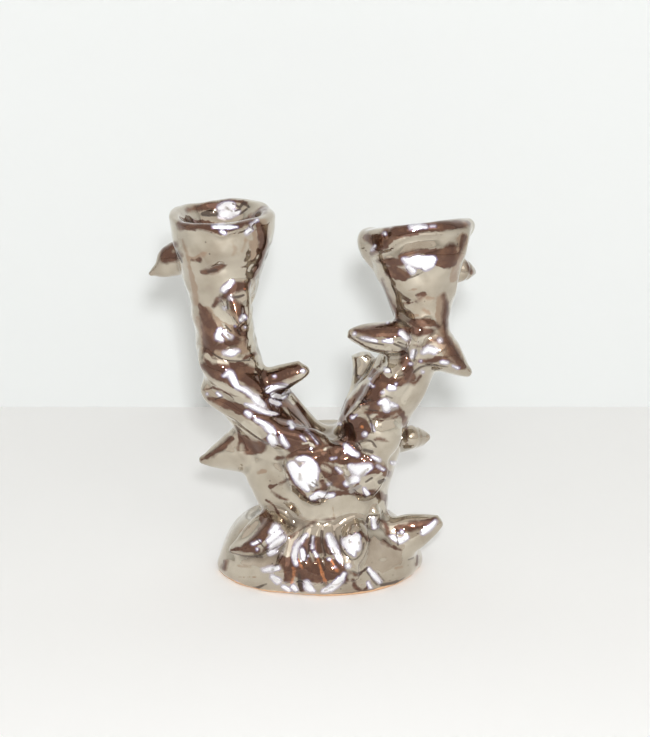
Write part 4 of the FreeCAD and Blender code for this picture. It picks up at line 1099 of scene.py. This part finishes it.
# %% Cut the bores
for mount in frame["record"]["mounts"]:
    if mount["kind"] != "bore":
        continue
    middle = np.array(mount["pos_m"]) * 1000
    axis = np.array(mount["axis"]) / np.linalg.norm(mount["axis"])
    radius, length = mount["dims"]["r_mm"], mount["dims"]["length_mm"]
    cut = window(middle - 30, middle + 30)
    x, y, z = places(cut)
    dx, dy, dz = x - middle[0], y - middle[1], z - middle[2]
    along = dx * axis[0] + dy * axis[1] + dz * axis[2]
    away = dx**2 + dy**2 + dz**2 - along**2
    candle = np.maximum(np.sqrt(np.maximum(away, 0)) - radius, -along - length / 2)
    clay[cut] = smooth_max(clay[cut], -candle, 1.0)
    print(f"{mount['name']}: bore of {2 * radius} mm, {length} mm deep")

# The sole is flat and just clear of the table, so the foot stands without rocking.
SOLE = np.float32(0.15)
x, y, z = places(WHOLE)
clay = np.maximum(clay, SOLE - z).astype(np.float32)

# %% [markdown]
# ## Cutting the clay back into its pieces
#
# Each lump stays a piece of its own, with the joint where the CAD model has it. A point belongs
# to the lump that it is nearest to. A piece follows the shared skin over its own ground, and past
# its border it dives under the neighbour, so no slit opens and no two skins lie in one place.

# %% Mesh tools
DIVE = np.float32(0.3)  # how steeply a piece dives under its neighbour
TUCK = np.float32(2.0)  # how far past its border it ends, in millimetres


def mesh_from(name, points, quads):
    """A smooth mesh in metres from points in millimetres and four-sided faces."""
    mesh = bpy.data.meshes.new(name)
    mesh.vertices.add(len(points))
    mesh.vertices.foreach_set("co", (points / 1000).astype(np.float32).ravel())
    mesh.loops.add(4 * len(quads))
    mesh.loops.foreach_set("vertex_index", quads.astype(np.int32).ravel())
    mesh.polygons.add(len(quads))
    mesh.polygons.foreach_set("loop_start", np.arange(0, 4 * len(quads), 4, dtype=np.int32))
    mesh.update(calc_edges=True)
    mesh.validate()
    mesh.polygons.foreach_set("use_smooth", np.ones(len(mesh.polygons), bool))
    return mesh


# %% How the skin curves


def blurred(field, reach):
    """A field smoothed by running means along each axis."""
    width = max(1, round(reach / VOXEL))
    span = 2 * width + 1
    out = field
    for axis in range(3):
        borders = [(0, 0)] * 3
        borders[axis] = (width + 1, width)
        ahead = tuple(slice(span, None) if a == axis else slice(None) for a in range(3))
        behind = tuple(slice(None, -span) if a == axis else slice(None) for a in range(3))
        for _ in range(2):
            padded = np.pad(out, borders, mode="edge")
            total = np.cumsum(padded, axis=axis, dtype=np.float64)
            out = ((total[ahead] - total[behind]) / span).astype(np.float32)
    return out


EDGE_REACH, FORM_REACH = 0.8, 2.0
edge = blurred(clay, EDGE_REACH) - clay
form = blurred(clay, FORM_REACH) - clay
print(f"curvature fields, after {since()}")

# %% One piece for each lump
TONES = ("tan", "brown", "orange_glint", "pewter", "painted_highlight", "grey", "painted_shade")
FRAYED, CRISP = 3.0, 1.4  # how wide the edge of a stroke is: of any tone, and of a dark line
BURIED = -0.4  # the field's value where a piece has dived out of sight


def carry(mesh, layer, values):
    """Gives each point of a mesh a number under a layer's name."""
    numbers = values.astype(np.float32)
    mesh.attributes.new(layer, "FLOAT", "POINT").data.foreach_set("value", numbers)


skins = {}
faces = 0
for name, lump in lumps.items():
    owned = lump.distance <= nearest[lump.cut]
    claim = lump.distance - np.where(owned, second[lump.cut], nearest[lump.cut])
    own = np.maximum(clay[lump.cut] + DIVE * np.maximum(claim, 0), claim - TUCK)
    grid = vdb.FloatGrid(BAND)
    grid.copyFromArray(own.astype(np.float32), ijk=corner(lump.cut))
    grid.transform = vdb.createLinearTransform(VOXEL)
    points, quads = grid.convertToQuads(isovalue=0)
    mesh = mesh_from(name + "_clay", points, quads)
    outward = slopes(points)
    facing = seen(points, outward)
    carry(mesh, "edge", sampled(edge, points))
    carry(mesh, "form", sampled(form, points))
    carry(mesh, "seen", facing)
    for tone in TONES:
        carry(mesh, tone, coverage(points, tone, CRISP if tone == "painted_shade" else FRAYED) * facing)
    # The shared skin's own directions shade the joints smoothly, and 0 leaves a direction as it is.
    outward[sampled(clay, points) < BURIED] = 0
    mesh.normals_split_custom_set_from_vertices(outward.tolist())
    piece = bpy.data.objects.new(name + "_clay", mesh)
    bpy.context.collection.objects.link(piece)
    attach(piece, "root")
    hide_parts(name)
    skins[name] = piece
    faces += len(quads)
print(f"{len(skins)} pieces with {faces} faces, after {since()}")

# %% [markdown]
# ## The lustre glaze
#
# The glaze is fired to a mirror, nearly metal: pale pewter where it lies thick, and brown where it
# runs thinly on ridges and rims. Upper faces are painted brown as well, a painted reflection of the
# dim room, and creases are darkened as painted shade. A metallic Principled shader gives the mirror.
# On the side that the camera sees, the strokes of the last steps say which tone lies where, painted
# highlights and painted shade among them, and noise frays their edges. On the hidden side the tones
# follow how the skin curves and faces up, with broken brown runs between. Small pits and slow waves
# come from bump, finer than the clay's form.

# %% Node helpers


class Recipe:
    """A material's node tree, with short calls that add and link nodes."""

    def __init__(self, name):
        self.material = bpy.data.materials.new(name)
        self.material.use_nodes = True
        self.tree = self.material.node_tree
        self.tree.nodes.clear()
        self.output = self.tree.nodes.new("ShaderNodeOutputMaterial")

    def add(self, kind, sockets=(), **settings):
        """A node with its settings, and its sockets set to numbers or linked to other nodes."""
        node = self.tree.nodes.new(kind)
        for key, value in settings.items():
            setattr(node, key, value)
        for socket, value in dict(sockets).items():
            if isinstance(value, bpy.types.NodeSocket):
                self.tree.links.new(value, node.inputs[socket])
            else:
                node.inputs[socket].default_value = value
        return node

    def maths(self, operation, a, b=0.0, c=0.0):
        return self.add("ShaderNodeMath", {0: a, 1: b, 2: c}, operation=operation).outputs[0]

    def blend(self, factor, a, b):
        """Colour a, turning to colour b as the factor goes from 0 to 1."""
        node = self.add("ShaderNodeMix", {0: factor, 6: a, 7: b}, data_type="RGBA")
        return node.outputs[2]

    def noise(self, where, scale, detail=2.0, roughness=0.5):
        """Cloudy noise from 0 to 1, with a scale in waves per metre."""
        wanted = {"Vector": where, "Scale": scale, "Detail": detail, "Roughness": roughness}
        return self.add("ShaderNodeTexNoise", wanted).outputs["Fac"]

    def ramp(self, value, low, high):
        """0 below the low value, 1 above the high one, and even between them."""
        wanted = {0: value, 1: low, 2: high}
        return self.add("ShaderNodeMapRange", wanted, clamp=True).outputs[0]


# %% The lustre glaze
PEWTER = (0.60, 0.54, 0.44, 1)
UMBER = (0.43, 0.365, 0.28, 1)
GREY = (0.38, 0.34, 0.31, 1)
# Brown, amber and tan are partly the glaze's own colour and partly a painted reflection of the dim
# room.
BROWN = (0.115, 0.047, 0.025, 1)
AMBER = (0.24, 0.12, 0.068, 1)
TAN = (0.38, 0.26, 0.175, 1)
# Painted orange glints: a painted reflection of bright light in the brown glaze.
ORANGE_GLINT = (0.75, 0.28, 0.10, 1)
# Painted shade for creases and grooves, and also the colour of the glaze's own dark pits.
PAINTED_SHADE_AND_PITS = (0.06, 0.032, 0.02, 1)
# A near-white painted highlight: where the flash would glint, the glaze is painted this colour.
PAINTED_HIGHLIGHT = (0.97, 0.97, 1.0, 1)
# The painted violet fringe round each painted highlight, like the blue rim of a glint.
PAINTED_HIGHLIGHT_FRINGE = (0.40, 0.36, 0.66, 1)
RED_CLAY = (0.72, 0.40, 0.20, 1)
BUFF_CLAY = (0.93, 0.68, 0.46, 1)


def thin_glaze_and_painted_reflection(glaze, where, carried, clouds, grain, wander):
    """1 on thinly glazed ridges, broken runs out of sight, and upper faces: a painted reflection."""
    normal = glaze.add("ShaderNodeNewGeometry").outputs["Normal"]
    upward = glaze.add("ShaderNodeSeparateXYZ", {0: normal}).outputs[2]
    upward = glaze.maths("ADD", upward, glaze.maths("MULTIPLY_ADD", clouds, 0.3, -0.15))
    # Upper faces are painted brown: a painted reflection of the dim room that they face.
    facing_up = glaze.ramp(upward, 0.05, 0.5)
    on_ridge = glaze.ramp(glaze.maths("MULTIPLY_ADD", grain, 0.06, carried["edge"]), 0.03, 0.16)
    thin_and_painted_reflection = glaze.maths("MAXIMUM", facing_up, glaze.maths("MULTIPLY", on_ridge, 0.7))
    # Little of this is left where the camera sees the skin, because the strokes say it there.
    thin_and_painted_reflection = glaze.maths("MULTIPLY", thin_and_painted_reflection, glaze.maths("MULTIPLY_ADD", carried["seen"], -0.85, 1.0))
    hidden = glaze.maths("SUBTRACT", 1.0, carried["seen"])
    runs = glaze.maths("MULTIPLY_ADD", wander, 0.12, glaze.noise(where, 62, 2))
    broken = glaze.maths("MULTIPLY", glaze.ramp(runs, 0.50, 0.59), hidden)
    return glaze.maths("MAXIMUM", thin_and_painted_reflection, glaze.maths("MULTIPLY", broken, 0.85))


def above_bare_clay(glaze, where, colour, metal, roughness):
    """Leaves bare clay along the sole, and gives back how far each point is glazed, too."""
    height = glaze.add("ShaderNodeSeparateXYZ", {0: where}).outputs[2]
    line = glaze.maths("MULTIPLY_ADD", glaze.noise(where, 160, 3), 0.0022, 0.0002)
    glazed = glaze.ramp(glaze.maths("SUBTRACT", height, line), -0.00015, 0.00035)
    clay_colour = glaze.blend(glaze.noise(where, 1800, 4, 0.7), RED_CLAY, BUFF_CLAY)
    rough_clay = glaze.maths("MULTIPLY_ADD", glazed, -0.85, 0.85)
    return (
        glaze.blend(glazed, clay_colour, colour),
        glaze.maths("MULTIPLY", glazed, metal),
        glaze.maths("MAXIMUM", roughness, rough_clay),
        glazed,
    )


def lustre_glaze(name, bare_below=False):
    """The glaze, which on the foot stops short of the sole and leaves a line of bare clay."""
    glaze = Recipe(name)
    where = glaze.add("ShaderNodeTexCoord").outputs["Object"]
    carried = {
        layer: glaze.add("ShaderNodeAttribute", attribute_name=layer).outputs["Fac"]
        for layer in ("edge", "form", "seen", *TONES)
    }
    clouds = glaze.noise(where, 90, 3)
    grain = glaze.noise(where, 500, 2)
    wander = glaze.maths("MULTIPLY_ADD", glaze.noise(where, 300, 3, 0.6), 0.9, -0.45)
    softness = glaze.ramp(glaze.noise(where, 140, 1), 0.4, 0.65)
    softness = glaze.maths("MULTIPLY_ADD", softness, 0.22, 0.06)

    def within(tone, middle=0.5, waver=1.0):
        """Inside a tone's strokes, with an edge that wanders, crisp here and soft there."""
        value = glaze.maths("MULTIPLY_ADD", wander, waver, carried[tone])
        start = glaze.maths("SUBTRACT", middle, softness)
        return glaze.ramp(value, start, glaze.maths("ADD", middle, softness))

    brown = glaze.blend(glaze.ramp(glaze.noise(where, 210, 3, 0.6), 0.48, 0.72), BROWN, AMBER)
    # Where the painted highlights lie. They are also made rougher and less metallic.
    painted_highlight = within("painted_highlight", 0.5, 0.6)
    dots = glaze.add("ShaderNodeTexVoronoi", {"Vector": where, "Scale": 330.0}, feature="F1")
    specks = glaze.ramp(dots.outputs["Distance"], 0.16, 0.08)
    specks = glaze.maths("MULTIPLY", specks, glaze.ramp(clouds, 0.52, 0.6))
    layers = (  # where each tone lies, how much it covers, and its colour, from the clay outwards
        (thin_glaze_and_painted_reflection(glaze, where, carried, clouds, grain, wander), 1.0, brown),
        # tan and brown strokes: partly the glaze's own colour, partly a painted reflection of the dim
        # room
        (within("tan"), 0.85, TAN),
        (within("brown"), 1.0, brown),
        # the painted orange glints
        (within("orange_glint"), 0.8, ORANGE_GLINT),
        (within("pewter"), 1.0, PEWTER),
        (glaze.ramp(carried["form"], -0.10, -0.55), 0.6, PAINTED_SHADE_AND_PITS),  # painted shade in a crease
        (within("painted_highlight", 0.36, 0.6), 0.55, PAINTED_HIGHLIGHT_FRINGE),  # the painted violet fringe round a painted highlight
        # the painted highlights
        (painted_highlight, 1.0, PAINTED_HIGHLIGHT),
        (within("grey"), 1.0, GREY),
        # painted shade along the dark strokes
        (within("painted_shade", 0.48, 0.3), 0.85, PAINTED_SHADE_AND_PITS),
        (specks, 0.7, PAINTED_SHADE_AND_PITS),
    )
    colour = glaze.blend(glaze.ramp(clouds, 0.35, 0.7), PEWTER, UMBER)
    for place, cover, tone in layers:
        colour = glaze.blend(glaze.maths("MULTIPLY", place, cover), colour, tone)

    height = glaze.noise(where, 260, 2)
    height = glaze.maths("SUBTRACT", height, glaze.maths("MULTIPLY", specks, 0.6))
    bump = glaze.add("ShaderNodeBump", {"Strength": 0.12, "Distance": 0.0006, "Height": height})
    roughness = glaze.maths("MULTIPLY_ADD", grain, 0.06, 0.06)
    roughness = glaze.maths("MULTIPLY_ADD", painted_highlight, 0.3, roughness)
    metal = glaze.maths("MULTIPLY_ADD", painted_highlight, -0.5, 0.93)
    coat = 1.0
    if bare_below:
        colour, metal, roughness, coat = above_bare_clay(glaze, where, colour, metal, roughness)
    skin = glaze.add("ShaderNodeBsdfPrincipled", {
        "Base Color": colour, "Metallic": metal, "Roughness": roughness,
        "Normal": bump.outputs[0],
        "Coat Weight": coat, "Coat Roughness": 0.04, "Coat IOR": 1.5,
    })
    glaze.tree.links.new(skin.outputs[0], glaze.output.inputs[0])
    return glaze.material


glaze_material = lustre_glaze("lustre_glaze")
for piece in skins.values():
    piece.data.materials.append(glaze_material)
print("glaze on", len(skins), "pieces")

# %% [markdown]
# ## The bare clay sole
#
# The glaze stops just above the table, so that the foot doesn't stick to the kiln shelf, and a thin
# line of buff-orange clay shows. The same glaze is kept, and the bare clay is mixed in by height,
# with an uneven edge, because a dipped or brushed glaze never stops on a level line.

# %% The foot slab
skins["foot_slab"].data.materials.clear()
skins["foot_slab"].data.materials.append(lustre_glaze("glaze_above_bare_clay", bare_below=True))
print("bare clay line on the foot slab")

# %% [markdown]
# ## The table, the wall and the light
#
# The holder stands on a white table, with a pale wall a hand's length behind it. The glaze shows
# what surrounds it, so the room matters: white below and behind, and a plain pale room all round.
# One broad soft window stands in front, and one small lamp near the camera gives the sharp
# highlights and the shadow on the wall. The wall is seen from the front only.

# %% Table and wall


def flat_sheet(name, corners, material):
    """A flat piece of the stage, from its four corners in metres."""
    mesh = bpy.data.meshes.new(name)
    mesh.from_pydata(corners, [], [(0, 1, 2, 3)])
    sheet = bpy.data.objects.new(name, mesh)
    bpy.context.collection.objects.link(sheet)
    sheet.data.materials.append(material)


def plain_paint(name, colour, lift, one_sided=False):
    """Matt paint. The camera and mirrors see it lifted a little towards white, with its shadows."""
    paint = Recipe(name)
    flat = paint.add("ShaderNodeBsdfPrincipled", {
        "Base Color": colour, "Roughness": 0.9, "Specular IOR Level": 0.2,
    })
    rays = paint.add("ShaderNodeLightPath").outputs
    looked_at = paint.maths("MAXIMUM", rays["Is Camera Ray"], rays["Is Glossy Ray"])
    strength = paint.maths("MULTIPLY", looked_at, lift)
    glow = paint.add("ShaderNodeEmission", {"Color": colour, "Strength": strength})
    out = paint.add("ShaderNodeAddShader", {0: flat.outputs[0], 1: glow.outputs[0]}).outputs[0]
    if one_sided:
        behind = paint.add("ShaderNodeNewGeometry").outputs["Backfacing"]
        clear = paint.add("ShaderNodeBsdfTransparent")
        out = paint.add("ShaderNodeMixShader", {0: behind, 1: out, 2: clear.outputs[0]}).outputs[0]
    paint.tree.links.new(out, paint.output.inputs[0])
    return paint.material


WALL_Y = 0.178
WALL_TOP = 2.2
SIDE = 3  # how far the table and the wall reach, to each side
TABLE_WHITE, TABLE_LIFT = (0.88, 0.88, 0.87, 1), 0.11
WALL_WHITE, WALL_LIFT = (0.82, 0.845, 0.84, 1), 0.09

table_paint = plain_paint("white_table", TABLE_WHITE, TABLE_LIFT)
wall_paint = plain_paint("pale_wall", WALL_WHITE, WALL_LIFT, one_sided=True)
flat_sheet("table", [(-SIDE, -SIDE, 0), (SIDE, -SIDE, 0), (SIDE, SIDE, 0), (-SIDE, SIDE, 0)],
           table_paint)
flat_sheet("wall", [(-SIDE, WALL_Y, 0), (SIDE, WALL_Y, 0), (SIDE, WALL_Y, WALL_TOP),
                    (-SIDE, WALL_Y, WALL_TOP)], wall_paint)
print("table and wall")

# %% Lights and room
scene = bpy.context.scene
scene.view_settings.view_transform = "Standard"

world = bpy.data.worlds.new("room")
scene.world = world
world.use_nodes = True
room = world.node_tree


def room_node(kind, operation=None, **inputs):
    """A node of the room's tree, with its sockets set by name."""
    node = room.nodes.new(kind)
    if operation:
        node.operation = operation
    for socket, value in inputs.items():
        node.inputs[socket.replace("_", " ")].default_value = value
    return node


# The camera and the mirrors see the room pale, and the light that falls from it is half of that.
ROOM_COLOUR = (0.86, 0.82, 0.775, 1)
ROOM_SEEN, ROOM_LIGHT = 0.95, 0.5
rays = room_node("ShaderNodeLightPath")
looked_at = room_node("ShaderNodeMath", operation="MAXIMUM")
strength = room_node("ShaderNodeMapRange", To_Min=ROOM_LIGHT, To_Max=ROOM_SEEN)
room.links.new(rays.outputs["Is Camera Ray"], looked_at.inputs[0])
room.links.new(rays.outputs["Is Glossy Ray"], looked_at.inputs[1])
room.links.new(looked_at.outputs[0], strength.inputs["Value"])
room.links.new(strength.outputs[0], room.nodes["Background"].inputs["Strength"])
room.nodes["Background"].inputs["Color"].default_value = ROOM_COLOUR


def soft_light(name, place, aim, size, power, colour):
    """A rectangular lamp, from its place to its aim in metres, with its power in watts."""
    lamp = bpy.data.lights.new(name, "AREA")
    lamp.shape = "RECTANGLE"
    lamp.size, lamp.size_y = size
    lamp.energy = power
    lamp.color = colour
    light = bpy.data.objects.new(name, lamp)
    light.location = place
    light.rotation_euler = (Vector(aim) - Vector(place)).to_track_quat("-Z", "Y").to_euler()
    bpy.context.collection.objects.link(light)


MIDDLE = (0, 0, 0.08)
soft_light("window", (0.2, -1.2, 1.15), MIDDLE, (1.5, 0.9), 3.2, (1.0, 0.99, 0.97))
soft_light("flash", (0.022, -0.775, 0.435), MIDDLE, (0.05, 0.05), 4.2, (0.97, 0.98, 1.0))
print(f"lights, after {since()}")

# %% [markdown]
# ## Finish

# %% Finish
bpy.context.view_layer.update()
